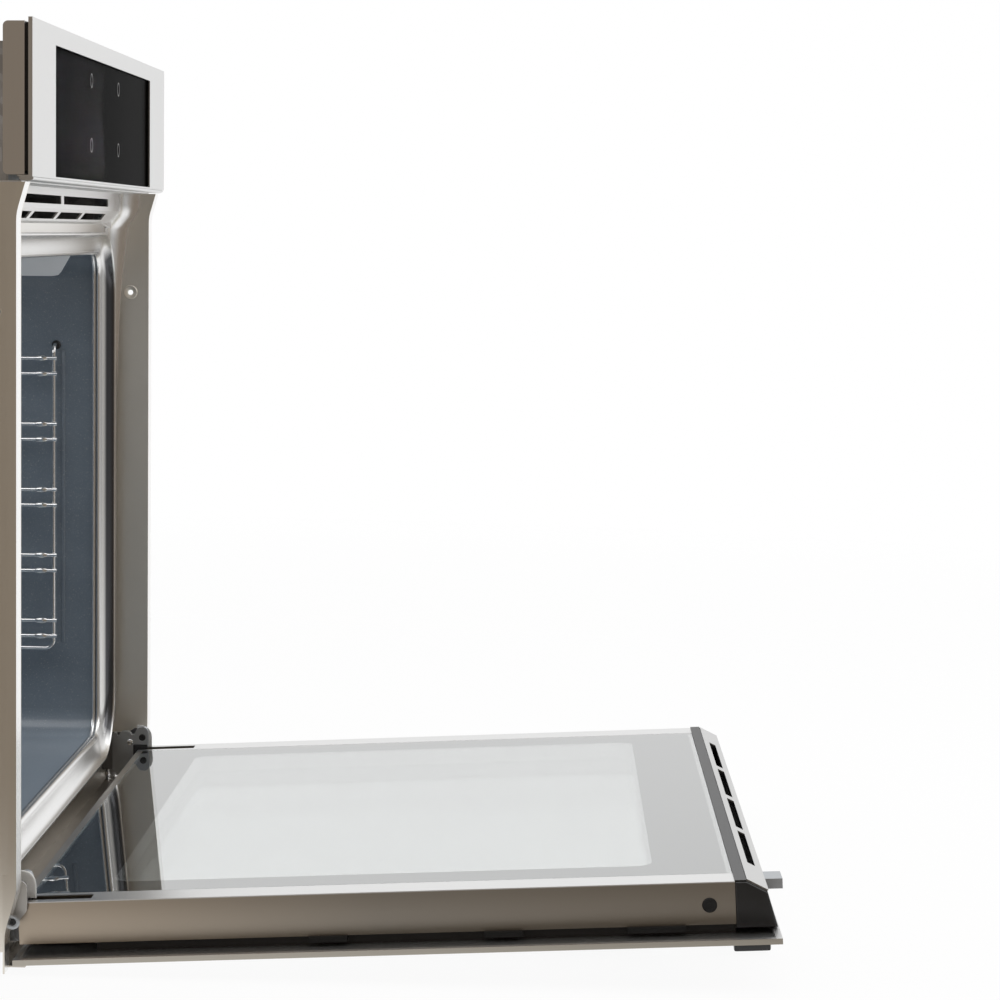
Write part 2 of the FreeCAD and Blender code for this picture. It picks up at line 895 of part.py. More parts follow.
def cooling_deck():
    """Shelf over the insulation that the blower, duct and junction box stand on."""
    return box("cooling_deck", (-casing_in, casing_in), (deep(plate_back), casing_back - s.sheet),
               (high(deck_height), high(deck_height + s.sheet)))


keep(base_pan())
keep(side_panel())
keep(mirrored("side_panel_left", PIECES["side_panel_right"]))
keep(rear_panel())
keep(top_cover())
keep(cooling_deck())


# Cavity

liner_front = plate_back
liner_back = s.casing_depth - s.back_room
liner_rear = liner_back + s.liner_wall
fan_height = (s.mouth_foot + mouth_top) / 2


def cavity_liner():
    """Enamelled box with a flange behind the mouth and holes in its back for the fan and the lamp."""
    w = s.liner_wall
    edge = s.liner_flange
    outer = rounded_block("liner_outer", "XZ", (-mouth_half - w, mouth_half + w),
                          (high(s.mouth_foot - w), high(mouth_top + w)),
                          deep(liner_front), deep(liner_rear), s.mouth_round + w)
    flange = rounded_block("liner_lip", "XZ", (-mouth_half - edge, mouth_half + edge),
                           (high(s.mouth_foot - edge), high(mouth_top + edge)),
                           deep(liner_front), deep(liner_front + w), s.mouth_round + edge)
    inner = rounded_block("liner_inner", "XZ", (-mouth_half, mouth_half), (high(s.mouth_foot), high(mouth_top)),
                          deep(liner_front - CLEAR), deep(liner_back), s.mouth_round)
    start = deep(liner_back - CLEAR)
    shaft = rod("liner_shaft_hole", "Y", (Size(0), start, high(fan_height)), CLEAR * 2, s.shaft_radius * 2)
    lamp = rod("liner_lamp_hole", "Y", (lamp_side, start, high(lamp_height)), CLEAR * 2,
               s.lamp_radius - s.lamp_step)
    return cut("cavity_liner", fuse("liner_shell", outer, flange), inner, shaft, lamp)


def insulation():
    """Mineral wool sleeve round the liner, with room for the bake element below it."""
    gap = s.seat_gap
    near = mouth_half + s.liner_wall + gap
    low = s.mouth_foot - s.liner_wall - s.bake_room
    top = mouth_top + s.liner_wall + gap
    wool = s.insulation_wall
    ends = (deep(liner_front + s.liner_wall + gap), deep(liner_rear))
    outer = box("wool_outer", (-near - wool, near + wool), ends, (high(low - wool), high(top + wool)))
    inner = rounded_block("wool_inner", "XZ", (-near, near), (high(low), high(top)),
                          ends[0] - CLEAR, ends[1] + CLEAR, s.mouth_round + s.liner_wall)
    return cut("insulation", outer, inner)


LEVELS = 5


def ladder():
    """Right-hand rack ladder: a bent frame wire whose ends enter the wall, with pairs of rails on it."""
    r = s.wire / 2
    x = mouth_half - s.ladder_inset
    wall = mouth_half - s.seat_gap
    start = deep(plate_back + s.ladder_start)
    end = deep(liner_back - s.ladder_rear)
    low = high(s.mouth_foot + s.ladder_foot)
    first = low + s.ladder_rise
    top = first + (LEVELS - 1) * s.ladder_step + s.ladder_pair + s.ladder_rise
    route = [
        (wall, start, top), (x, start, top), (x, start, low), (x, end, low), (x, end, top), (wall, end, top),
    ]
    parts = [bent_tube("ladder_frame", [spot(*p) for p in route], float(r), float(s.wire) * 2)]
    inside = x - s.wire * 0.8
    length = end - start + s.wire * 2
    for i in range(LEVELS):
        for rise in (Size(0), s.ladder_pair):
            level = first + i * s.ladder_step + rise
            parts.append(rod("ladder_rail", "Y", (inside, start - s.wire, level), length, r))
    return fuse("ladder_right", *parts)


# Slits above and below the middle one.
INTAKES = 4
OUTLETS = 2


def fan_cover():
    """Pressed cover before the fan, open at the back, with barred intake and hot air slots at its sides."""
    c = s.cover_half
    w = s.sheet
    face = liner_back - s.cover_depth
    outer = rounded_block("cover_outer", "XZ", (-c, c), (high(fan_height - c), high(fan_height + c)),
                          deep(face), deep(liner_back), s.cover_round)
    fillet_where(outer, s.cover_edge, at_depth(face))
    inner = rounded_block("cover_inner", "XZ", (-c + w, c - w),
                          (high(fan_height - c + w), high(fan_height + c - w)), deep(face + w),
                          deep(liner_back + CLEAR), s.cover_round - w)
    fillet_where(inner, s.cover_edge - w, at_depth(face + w))
    slits = []
    tall = s.slit_height / 2
    for i in range(-INTAKES, INTAKES + 1):
        rise = s.slit_pitch * i
        reach = Size(f"sqrt({s.intake_radius} ^ 2 - ({rise}) ^ 2)")
        slits.append(box("intake", (-reach, reach), (deep(face - CLEAR), deep(face + CLEAR)),
                         (high(fan_height + rise - tall), high(fan_height + rise + tall))))
    middle = face + s.cover_depth * 0.6
    wide = s.outlet_depth / 2
    tall = s.outlet_height / 2
    for i in range(-OUTLETS, OUTLETS + 1):
        level = fan_height + s.outlet_pitch * i
        slits.append(box("outlet", (-c - CLEAR, c + CLEAR), (deep(middle - wide), deep(middle + wide)),
                         (high(level - tall), high(level + tall))))
    return cut("fan_cover", outer, inner, *slits)


def ring_element():
    """Ring heater round the fan, on two legs that pass into the liner's back."""
    ring = doc.addObject("Part::Torus", "ring_loop")
    ring.Placement = Placement(Vector(), TURNS["Y"])
    bind(ring, Radius1=s.ring_radius, Radius2=s.element_tube / 2)
    depth = liner_back - s.element_setback
    place(ring, Size(0), deep(depth), high(fan_height))
    legs = []
    for x in (-1, 1):
        start = (x * s.ring_radius, deep(depth), high(fan_height))
        legs.append(rod("ring_leg", "Y", start, liner_back - depth, s.element_tube * 0.35))
    return fuse("ring_element", ring, *legs)


def broil_element():
    """Bent heater tube under the ceiling, behind the mouth, held by two hangers."""
    level = high(mouth_top - s.broil_drop)
    back = deep(liner_back)
    near = deep(plate_back + s.broil_setback)
    far = deep(liner_back - s.element_rear)
    w = mouth_half - s.broil_margin
    inner = -s.broil_inner
    middle = -s.broil_middle
    runs = [(inner, back), (inner, near), (middle, near), (middle, far), (-w, far), (-w, near - s.element_bend)]
    left = [spot(x, y, level) for x, y in runs]
    right = [Vector(-p.x, p.y, p.z) for p in reversed(left)]
    tube = bent_tube("broil_tube", left + right, float(s.element_tube) / 2, float(s.element_bend))
    hangers = []
    for x in (-1, 1):
        start = (x * w, deep(plate_back + s.hanger_depth), level)
        hangers.append(rod("hanger", "Z", start, s.broil_drop, s.wire / 2))
    return fuse("broil_element", tube, *hangers)


def bake_element():
    """Bent heater tube under the liner's floor, out of sight."""
    r = s.element_tube / 2
    level = high(s.mouth_foot - s.liner_wall - s.seat_gap) - r
    back = deep(liner_rear - CLEAR)
    near = deep(plate_back + s.bake_front)
    far = deep(liner_back - s.bake_rear)
    inner = -s.bake_inner
    w = s.bake_margin - mouth_half
    out = w - s.bake_loop
    step = near + s.bake_loop
    runs = [(inner, back), (inner, step), (w, step), (w, far), (out, far), (out, near)]
    left = [spot(x, y, level) for x, y in runs]
    right = [Vector(-p.x, p.y, p.z) for p in reversed(left)]
    return bent_tube("bake_element", left + right, float(r), float(s.element_bend))


def lamp_socket():
    """Holder behind the liner's back that passes through its hole."""
    level = high(lamp_height)
    thin = s.lamp_radius - s.lamp_step - s.seat_gap
    thick = s.lamp_radius - s.lamp_step / 2
    neck = rod("socket_neck", "Y", (lamp_side, deep(liner_back), level), s.liner_wall, thin)
    body = rod("socket_body", "Y", (lamp_side, deep(liner_rear), level), s.socket_length, thick)
    return fuse("lamp_socket", neck, body)


def lamp_lens():
    """Domed glass over the lamp."""
    body = doc.addObject("PartDesign::Body", "lamp_lens")
    face = liner_back - s.lens_depth
    pad(body, "XZ", [("circle", lamp_side, high(lamp_height), s.lamp_radius)], deep(face), deep(liner_back))
    fillet_where(body, s.lens_round, at_depth(face))
    return body


def temperature_probe():
    """Rod that reads the oven's heat, on a small flange."""
    level = high(lamp_height)
    tip = deep(liner_back - s.probe_length)
    root = deep(liner_back - s.flange_wall)
    stem = rod("probe_stem", "Y", (-lamp_side, tip, level), s.probe_length, s.probe_radius)
    flange = rod("probe_flange", "Y", (-lamp_side, root, level), s.flange_wall, s.probe_flange)
    return fuse("temperature_probe", stem, flange)


keep(cavity_liner())
keep(insulation())
keep(ladder())
keep(mirrored("ladder_left", PIECES["ladder_right"]))
for piece in (
    fan_cover, ring_element, broil_element, bake_element, lamp_socket, lamp_lens, temperature_probe,
):
    keep(piece())


# Air


def wheel(name, radius, hub, width, blades, blade_wall, rim_inner):
    """Fan wheel about its own Z axis: a disc, a hub and a ring of blades between them and the outside."""
    body = doc.addObject("PartDesign::Body", name)
    disc = s.sheet
    pad(body, "XY", [("circle", Size(0), Size(0), radius)], Size(0), disc)
    pad(body, "XY", [("circle", Size(0), Size(0), hub)], Size(0), width)
    outline = rectangle((rim_inner, radius), (blade_wall / -2, blade_wall / 2))
    blade = pad(body, "XY", [outline], Size(0), width)
    doc.recompute()
    pattern = body.newObject("PartDesign::PolarPattern", name + "_blades")
    pattern.Originals = [blade]
    pattern.Axis = ([o for o in body.Origin.OriginFeatures if o.Role == "Z_Axis"][0], [""])
    pattern.Angle = 360
    pattern.Occurrences = blades
    body.Tip = pattern
    return body


FAN_BLADES = 10
DRUM_BLADES = 16


def convection_fan():
    """Fan in the cavity's back, with the shaft that its motor turns."""
    y = deep(liner_back - s.fan_setback)
    root = s.fan_hub - s.fan_wall
    body = wheel("fan_wheel", s.fan_radius, s.fan_hub, s.fan_width, FAN_BLADES, s.fan_wall, root)
    body.Placement = Placement(Vector(), TURNS["Y"])
    place(body, Size(0), y, high(fan_height))
    length = liner_rear - liner_back + s.fan_setback + s.motor_length / 2
    shaft = rod("fan_shaft", "Y", (Size(0), y, high(fan_height)), length, s.shaft_radius)
    return fuse("convection_fan", body, shaft)


def fan_motor():
    """Motor on the outside of the cavity's back, bored for the fan's shaft."""
    y = deep(liner_rear)
    reach = s.motor_radius + s.motor_foot
    tall = s.foot_height / 2
    bracket = box("motor_bracket", (-reach, reach), (y, y + s.sheet * 2),
                  (high(fan_height - tall), high(fan_height + tall)))
    case = rod("motor_case", "Y", (Size(0), y, high(fan_height)), s.motor_length, s.motor_radius)
    reach = s.motor_length / 2 + CLEAR + s.running_play
    bore = rod("motor_bore", "Y", (Size(0), y - CLEAR, high(fan_height)), reach, s.shaft_radius + s.running_gap)
    return cut("fan_motor", fuse("motor_body", bracket, case), bore)


blower_y = deep(s.blower_depth)
blower_z = high(deck_height + s.sheet) + s.blower_radius + s.blower_play + s.sheet
blower_half = s.blower_length / 2
duct_half = slot_reach + s.duct_margin


def blower_housing():
    """Scroll round the blower wheel, open to the front and along its top at the back."""
    r = s.blower_radius + s.blower_play
    w = s.sheet
    low = high(deck_height + w)
    room_half = blower_half + s.end_play
    corners = rectangle((blower_y - r - w, blower_y + r + w), (low, blower_z + r + w))
    shell = profile("scroll_outer", "YZ", [corners], -room_half - w, room_half + w, [(r * 0.9, corners[1:])])
    room = rod("scroll_room", "X", (-room_half, blower_y, blower_z), room_half * 2, r)
    outlet = box("scroll_outlet", (-room_half, room_half), (blower_y - r - CLEAR, blower_y),
                 (low + w, low + s.duct_height - w))
    inlet = box("scroll_inlet", (-blower_half, blower_half), (blower_y + r * 0.2, blower_y + r + CLEAR),
                (blower_z, blower_z + r * 0.7))
    bush = rod("scroll_bush", "X", (-room_half - CLEAR, blower_y, blower_z), (room_half + CLEAR) * 2,
               s.shaft_radius + s.running_gap)
    return cut("blower_housing", shell, room, outlet, inlet, bush)


def blower_wheel():
    """Long drum of blades on a shaft."""
    rim = s.blower_radius - s.drum_blade
    body = wheel("drum", s.blower_radius, s.shaft_radius * 2, s.blower_length, DRUM_BLADES, s.drum_wall, rim)
    body.Placement = Placement(Vector(), TURNS["X"])
    place(body, -blower_half, blower_y, blower_z)
    cap = rod("drum_cap", "X", (blower_half - s.sheet, blower_y, blower_z), s.sheet, s.blower_radius)
    start = -blower_half - s.end_play - s.sheet
    length = blower_half - start + s.end_play + s.shaft_reach
    shaft = rod("drum_shaft", "X", (start, blower_y, blower_z), length, s.shaft_radius)
    return fuse("blower_wheel", body, cap, shaft)


def blower_motor():
    """Motor on the scroll's right end, bored for the wheel's shaft."""
    start = blower_half + s.sheet + s.end_play
    case = rod("blower_case", "X", (start, blower_y, blower_z), s.blower_case, s.blower_radius - s.end_play)
    bore = rod("blower_bore", "X", (start - CLEAR, blower_y, blower_z), CLEAR + s.shaft_reach + s.running_play,
               s.shaft_radius + s.running_gap)
    return cut("blower_motor", case, bore)


def air_duct():
    """Flat duct from the blower to the back of the grille."""
    w = s.sheet
    low = high(deck_height + w)
    ends = (deep(plate_back), blower_y - s.blower_radius - s.blower_play - w)
    outer = box("duct_outer", (-duct_half, duct_half), ends, (low, low + s.duct_height))
    inner = box("duct_inner", (-duct_half + w, duct_half - w), (ends[0] - CLEAR, ends[1] + CLEAR),
                (low + w, low + s.duct_height - w))
    return cut("air_duct", outer, inner)


def junction_box():
    """Supply terminal box on the deck, with a screwed lid's step."""
    low = high(deck_height + s.sheet)
    top = low + s.junction_height
    back = casing_back - s.sheet
    near = back - s.junction_depth
    x = -lamp_side
    wide = s.junction_width / 2
    lap = wide + s.lid_lap
    case = box("junction_case", (x - wide, x + wide), (near, back), (low, top))
    lid = box("junction_lid", (x - lap, x + lap), (near - s.lid_lap, back), (top, top + s.sheet))
    way = rod("junction_way", "Y", (x, back - CLEAR * 2, high(deck_height + s.supply_rise)), CLEAR * 3,
              s.bushing_bore + s.supply_play)
    return cut("junction_box", fuse("junction_body", case, lid), way)


def conduit_bushing():
    """Collar on the casing's back where the supply's conduit would enter."""
    x = -lamp_side
    z = high(deck_height + s.supply_rise)
    collar = rod("bushing_collar", "Y", (x, casing_back, z), s.bushing_length, s.bushing_bore + s.bushing_wall)
    way = rod("bushing_way", "Y", (x, casing_back - CLEAR, z), s.bushing_length + CLEAR * 2, s.bushing_bore)
    return cut("conduit_bushing", collar, way)


for piece in (
    convection_fan, fan_motor, blower_housing, blower_wheel, blower_motor, air_duct, junction_box,
    conduit_bushing,
):
    keep(piece())


# Hinges

axis_y = deep(s.hinge_depth)
axis_z = high(s.hinge_height)


def hinge_arm():
    """Right-hand arm: a steel blade fixed in its receiver, with the door's pivot through its foot."""
    side = (hinge_line - s.arm_wall / 2, hinge_line + s.arm_wall / 2)
    root = s.recess_back - s.receiver_wall - s.seat_gap
    outline = [
        (deep(s.arm_front), high(s.arm_foot)),
        (deep(root - s.arm_slant), high(s.arm_foot)),
        (deep(root), high(s.arm_foot + s.arm_slant * 0.7)),
        (deep(root), high(s.arm_top - s.arm_slant * 0.9)),
        (deep(root - s.arm_slant * 0.6), high(s.arm_top)),
        (deep(s.arm_front), high(s.arm_top)),
    ]
    rounds = [(s.arm_brow, outline[5:]), (s.arm_round, outline[:5])]
    blade = profile("arm_blade", "YZ", [outline], *side, rounds)
    eye = rod("arm_eye", "X", (side[0] - CLEAR, axis_y, axis_z), s.arm_wall + CLEAR * 2,
              s.pin_radius + s.running_gap)
    return cut("hinge_arm_right", blade, eye)


def hinge_receiver():
    """Right-hand receiver: a lobed plate and a leaf beside the door, and the block that the arm enters."""
    plate_in = door_side_half + s.receiver_play
    plate_out = plate_in + s.receiver_wall
    root = s.recess_back
    lobe = s.plate_nose + s.lobe_width
    outline = [
        (deep(root), high(s.plate_foot)),
        (deep(root), high(s.plate_step - s.lobe_round)),
        (deep(root - s.lobe_round), high(s.plate_step)),
        (deep(lobe + s.lobe_round), high(s.plate_step)),
        (deep(lobe), high(s.plate_top)),
        (deep(s.plate_nose), high(s.plate_top)),
        (deep(s.plate_nose), high(s.block_top - s.lobe_width)),
        (deep(s.chin_setback + s.sheet), high(s.plate_foot)),
    ]
    plate = profile("receiver_plate", "YZ", [outline], plate_in, plate_out, [(s.lobe_round, outline[5:7])])
    leaf_line = [
        (deep(root), high(s.plate_foot)),
        (deep(root), high(s.leaf_top)),
        (deep(s.leaf_nose), high(s.leaf_top)),
        (deep(s.leaf_nose), high(s.plate_foot)),
    ]
    leaf = profile("receiver_leaf", "YZ", [leaf_line], plate_in - s.leaf_wall, plate_in,
                   [(s.lobe_round, leaf_line[2:3])])
    arm = s.arm_wall / 2 + s.seat_gap
    near = deep(s.door_depth + s.receiver_play)
    block = box("receiver_block", (hinge_line - s.arm_wall, plate_in), (near, deep(root)),
                (high(s.block_low), high(s.block_top)))
    slot = box("receiver_slot", (hinge_line - arm, hinge_line + arm),
               (near - CLEAR, deep(root - s.receiver_wall)),
               (high(s.block_low - CLEAR), high(s.block_top + CLEAR)))
    studs = []
    for y, z in ((s.rivet_depth, s.rivet_height), (root - s.stud_radius * 2, s.stud_height)):
        start = (plate_out, deep(y), high(z))
        studs.append(rod("receiver_stud", "X", start, wall_in - plate_out, s.stud_radius))
    return fuse("hinge_receiver_right", plate, leaf, cut("receiver_socket", block, slot), *studs)


keep(hinge_arm())
keep(mirrored("hinge_arm_left", PIECES["hinge_arm_right"]))
keep(hinge_receiver())
keep(mirrored("hinge_receiver_left", PIECES["hinge_receiver_right"]))


# Door, drawn shut: y is the depth behind its outer face, z the height above its lower edge


def up(length):
    """z of a level that far up the shut door."""
    return high(s.door_foot + length)


def hang(piece):
    """Swing a finished door piece open about the hinge axis."""
    piece.Placement = Placement(Vector(), Rotation(Vector(1, 0, 0), float(s.door_open_angle)))
    turn = s.door_open_angle
    bind(
        piece,
        Placement__Rotation__Angle=turn,
        Placement__Base__y=axis_y - axis_y * Size(f"cos({turn})") + axis_z * Size(f"sin({turn})"),
        Placement__Base__z=axis_z - axis_y * Size(f"sin({turn})") - axis_z * Size(f"cos({turn})"),
    )
    return piece


skin_length = fascia_foot - s.door_gap - s.door_foot
side_front = s.skin_hem + s.groove
side_in = door_side_half - s.strip_width
window_half = side_in - s.window_side
end = skin_length
side_length = end - s.cap_length
window_high = side_length - s.window_top
cap_face = s.door_depth + s.cap_proud
slope_start = side_length + s.cap_band
slope_end = slope_start + s.cap_slope_length
slope_low = cap_face - s.cap_slope_depth


def door_skin():
    """Stainless outer panel with hemmed edges and an opening for the window."""
    edge = s.skin_hem_width
    whole = box("skin_block", (-half, half), (deep(0), deep(s.skin_hem)), (up(0), up(end)))
    inside = box("skin_inside", (-half + edge, half - edge), (deep(s.sheet), deep(s.skin_hem + CLEAR)),
                 (up(edge), up(end - edge)))
    window = rounded_block("skin_window", "XZ", (-window_half, window_half),
                           (up(s.window_low), up(window_high)), deep(-CLEAR), deep(s.skin_hem), s.window_round)
    return cut("door_skin", whole, inside, window)


def door_carrier():
    """Dark steel frame between the skin and the side channels; its edge is the groove at the door's side."""
    out = door_side_half - s.carrier_inset
    low = s.hinge_slot_length + s.cheek_wall * 2
    gap = s.seat_gap
    bar = s.strip_width
    depth = (deep(s.sheet), deep(side_front))
    ring = box("carrier_block", (-out, out), depth, (up(low), up(side_length - gap)))
    foot = box("carrier_foot", (-side_in, side_in), depth, (up(s.skin_hem_width + gap), up(low)))
    room = box("carrier_room", (-out + bar, out - bar), (deep(0), deep(side_front + CLEAR)),
               (up(bar), up(side_length - bar)))
    return cut("door_carrier", fuse("carrier_plate", ring, foot), room)


def outer_glass():
    """Outer pane, against the back of the skin round the window."""
    lap = s.window_lap
    outline = rectangle((-window_half - lap, window_half + lap),
                        (up(s.window_low - lap), up(window_high + lap)))
    return profile("outer_glass", "XZ", [outline], deep(s.sheet), deep(s.sheet + s.pane))


def inner_pane(name, face, low, top):
    reach = side_in - s.seat_gap
    outline = rectangle((-reach, reach), (up(low), up(top)))
    return profile(name, "XZ", [outline], deep(face - s.pane), deep(face))


def door_side():
    """Right-hand channel of the door's inner frame, slotted for the hinge arm."""
    w = s.sheet
    slot_half = s.hinge_slot / 2
    whole = box("side_block", (side_in, door_side_half), (deep(side_front), deep(s.door_depth)),
                (up(0), up(side_length)))
    inside = box("side_inside", (side_in + w, door_side_half - w),
                 (deep(side_front - CLEAR), deep(s.door_depth - w)), (up(-CLEAR), up(side_length + CLEAR)))
    slot = box("side_slot", (hinge_line - slot_half, hinge_line + slot_half),
               (deep(s.door_depth - CLEAR), deep(s.door_depth + CLEAR)), (up(-CLEAR), up(s.hinge_slot_length)))
    return cut("door_side_right", whole, inside, slot)


def door_bottom_rail():
    """Thin channel along the door's lower edge, between the side channels."""
    w = s.sheet
    reach = side_in - s.seat_gap
    whole = box("rail_block", (-reach, reach), (deep(side_front), deep(s.door_depth)),
                (up(0), up(s.rail_height)))
    inside = box("rail_inside", (-side_in, side_in), (deep(side_front + w), deep(s.door_depth - w)),
                 (up(w), up(s.rail_height + CLEAR)))
    return cut("door_bottom_rail", whole, inside)


def top_outline(inset):
    """Side view of the door's top rail, drawn in from its outer faces by an inset."""
    return [
        (deep(s.skin_hem + s.seat_gap + inset), up(side_length)),
        (deep(cap_face - inset), up(side_length)),
        (deep(cap_face - inset), up(slope_start - inset * 0.6)),
        (deep(slope_low - inset * 0.8), up(slope_end - inset)),
        (deep(s.skin_hem + s.seat_gap + inset), up(end - inset)),
    ]


VENTS = 4


def slope_slots(name):
    """Slots across the sloped face of the top rail, as blocks that pass through it."""
    middle_y = (cap_face + slope_low) / 2
    middle_z = (slope_start + slope_end) / 2
    slots = []
    for i in range(VENTS):
        x = s.vent_pitch * (i - (VENTS - 1) / 2)
        slots.append(box(name, (x - s.vent_slot / 2, x + s.vent_slot / 2),
                         (deep(middle_y - s.vent_reach * 2), deep(middle_y + CLEAR)),
                         (up(middle_z - s.vent_reach), up(middle_z + s.vent_reach))))
    return slots


def door_top_rail():
    """Black moulding across the door's top, hollow for the air between the panes, which leaves by its slope."""
    side = door_side_half
    w = s.cap_wall
    whole = profile("cap_block", "YZ", [top_outline(s.strip_wall)], -side, side)
    band = box("cap_band", (-side, side), (deep(cap_face - s.strip_wall * 2), deep(cap_face)),
               (up(side_length), up(slope_start - s.strip_wall * 0.6)))
    room = [(y, z - w if i < 2 else z) for i, (y, z) in enumerate(top_outline(s.strip_wall + w))]
    inside = profile("cap_inside", "YZ", [room], -side + w, side - w)
    return cut("door_top_rail", fuse("cap_shell", whole, band), inside, *slope_slots("cap_slot"))


def vent_strip():
    """Bright slotted strip on the slope of the top rail."""
    w = s.strip_wall
    side = door_side_half - s.vent_reach
    outline = [
        (deep(cap_face), up(slope_start)),
        (deep(slope_low), up(slope_end)),
        (deep(slope_low - w * 0.8), up(slope_end - w)),
        (deep(cap_face - w), up(slope_start - w * 0.6)),
    ]
    strip = profile("strip_sheet", "YZ", [outline], -side, side)
    return cut("vent_strip", strip, *slope_slots("strip_slot"))


def handle_bar():
    """Flat bar along the top of the door's outer face, its long edges rounded."""
    top = end - s.sheet
    corners = rectangle((deep(-s.handle_reach), deep(-s.handle_reach + s.handle_wall)),
                        (up(top - s.handle_width), up(top)))
    return profile("handle_bar", "YZ", [corners], -handle_half, handle_half, [(s.handle_round, corners)])


def handle_posts():
    """Two posts between the skin and the bar."""
    posts = []
    level = up(end - s.sheet - s.handle_width / 2)
    near = s.handle_wall - s.handle_reach
    for x in (-1, 1):
        start = (x * (handle_half - s.post_inset), deep(near), level)
        posts.append(rod("post", "Y", start, -near, s.post_radius))
    return group("handle_posts", *posts)


def latch_tab():
    """Strike on the end of the door that the oven's lock catches."""
    low = (slope_end + end) / 2 - s.tab_root
    wide = s.tab_width / 2
    block = box("tab_block", (-tab_side - wide, -tab_side + wide),
                (deep(s.tab_depth), deep(s.tab_depth + s.tab_wall)), (up(low), up(end + s.tab_rise)))
    seat = profile("tab_seat", "YZ", [top_outline(s.strip_wall)], -half, half)
    return cut("latch_tab", block, seat)


# Where each clip starts, as a share of the door's side, and how many clip lengths it is long.
CLIPS = ((0.407, 1), (0.652, 1), (0.85, 1.5))


def door_clips():
    """Black clips in the grooves at the door's sides."""
    clips = []
    out = door_side_half - s.carrier_inset
    for ends in ((out, out + s.carrier_inset + s.clip_proud), (-out - s.carrier_inset - s.clip_proud, -out)):
        for share, stretch in CLIPS:
            low = side_length * share
            clips.append(box("clip", ends, (deep(s.skin_hem), deep(side_front)),
                             (up(low), up(low + s.clip_length * stretch))))
    return group("door_clips", *clips)


def door_hinge():
    """Right-hand bracket in the door's channel: two cheeks round the arm, joined beyond its reach."""
    room = s.cheek_room / 2
    w = s.cheek_wall
    foot = s.hinge_height - s.door_foot - s.pin_radius - w * 2
    top = s.hinge_slot_length + w
    front_face = side_front + s.seat_gap
    rear_face = s.door_depth - s.pin_radius
    outline = [
        (deep(front_face), up(foot + s.pin_radius)),
        (deep(front_face + s.pin_radius), up(foot)),
        (deep(s.hinge_depth + s.pin_radius * 2), up(foot)),
        (deep(rear_face), up(foot + s.hinge_height)),
        (deep(rear_face), up(top)),
        (deep(front_face), up(top)),
    ]
    cheeks = []
    for low in (hinge_line - room - w, hinge_line + room):
        cheeks.append(profile("cheek", "YZ", [outline], low, low + w))
    web = box("cheek_web", (hinge_line - room - w, hinge_line + room + w), (deep(front_face), deep(rear_face)),
              (up(top), up(top + w)))
    hole = rod("cheek_hole", "X", (hinge_line - CLEAR * 2, axis_y, axis_z), CLEAR * 4, s.pin_radius)
    return cut("door_hinge_right", fuse("hinge_bracket", *cheeks, web), hole)


def hinge_pins():
    """Headed pins through the cheeks and the arms."""
    reach = s.cheek_room / 2 + s.cheek_wall
    pins = []
    for x in (-1, 1):
        pins.append(rod("pin", "X", (x * hinge_line - reach, axis_y, axis_z), reach * 2, s.pin_radius))
    return group("hinge_pins", *pins)


middle_low = s.rail_height + s.seat_gap
for piece in (
    door_skin(), door_carrier(), outer_glass(),
    inner_pane("middle_glass", s.middle_pane, middle_low, side_length - s.seat_gap),
    inner_pane("inner_glass", s.door_depth, middle_low, side_length - s.seat_gap),
    door_side(), door_bottom_rail(), door_top_rail(), vent_strip(), handle_bar(), handle_posts(),
    latch_tab(), door_clips(), door_hinge(), hinge_pins(),
):
    keep(hang(piece))
keep(mirrored("door_side_left", PIECES["door_side_right"]))
keep(mirrored("door_hinge_left", PIECES["door_hinge_right"]))

doc.recompute()
for item in doc.Objects:
    if {"Invalid", "Error"} & set(item.State):
        raise RuntimeError(f"{item.Label} failed to recompute")
for name, piece in PIECES.items():
    if piece.Shape.isNull() or not piece.Shape.isValid():
        raise RuntimeError(f"{name} has no valid shape")

os.makedirs("parts", exist_ok=True)
for name, piece in PIECES.items():
    piece.Shape.exportStep(f"parts/{name}.step")
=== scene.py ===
# %% [markdown]
# # A single wall oven with its door open
#
# The oven comes from a CAD frame whose pieces already have their real size and place.
# This lesson dresses them: each finish is a small node graph, and the details that a press,
# a screwdriver or a printer adds are modelled on top. Every cell after the first prints what it made.

# %% Load the frame
import math

import bmesh
import bpy
from mathutils import Matrix, Vector

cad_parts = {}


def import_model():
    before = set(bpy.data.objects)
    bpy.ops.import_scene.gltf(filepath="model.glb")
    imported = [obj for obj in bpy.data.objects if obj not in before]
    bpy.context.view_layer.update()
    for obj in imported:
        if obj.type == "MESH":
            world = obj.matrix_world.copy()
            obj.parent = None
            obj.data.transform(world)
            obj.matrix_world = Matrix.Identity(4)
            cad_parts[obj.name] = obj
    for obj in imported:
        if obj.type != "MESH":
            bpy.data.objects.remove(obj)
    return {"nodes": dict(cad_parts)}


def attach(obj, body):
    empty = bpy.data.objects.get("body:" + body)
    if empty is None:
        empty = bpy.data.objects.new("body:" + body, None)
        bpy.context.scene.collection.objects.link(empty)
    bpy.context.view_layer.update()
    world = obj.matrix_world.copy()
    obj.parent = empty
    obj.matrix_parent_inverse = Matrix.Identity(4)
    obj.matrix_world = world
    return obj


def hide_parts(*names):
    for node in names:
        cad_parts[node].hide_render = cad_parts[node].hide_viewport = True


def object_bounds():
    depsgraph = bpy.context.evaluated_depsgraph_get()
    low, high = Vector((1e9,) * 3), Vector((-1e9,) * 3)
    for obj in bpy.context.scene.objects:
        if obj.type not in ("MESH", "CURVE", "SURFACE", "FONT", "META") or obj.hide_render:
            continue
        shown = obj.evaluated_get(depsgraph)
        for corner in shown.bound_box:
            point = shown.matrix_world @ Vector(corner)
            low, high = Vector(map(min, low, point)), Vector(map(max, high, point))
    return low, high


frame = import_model()
cad_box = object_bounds()
nodes = frame["nodes"]
MM = 0.001

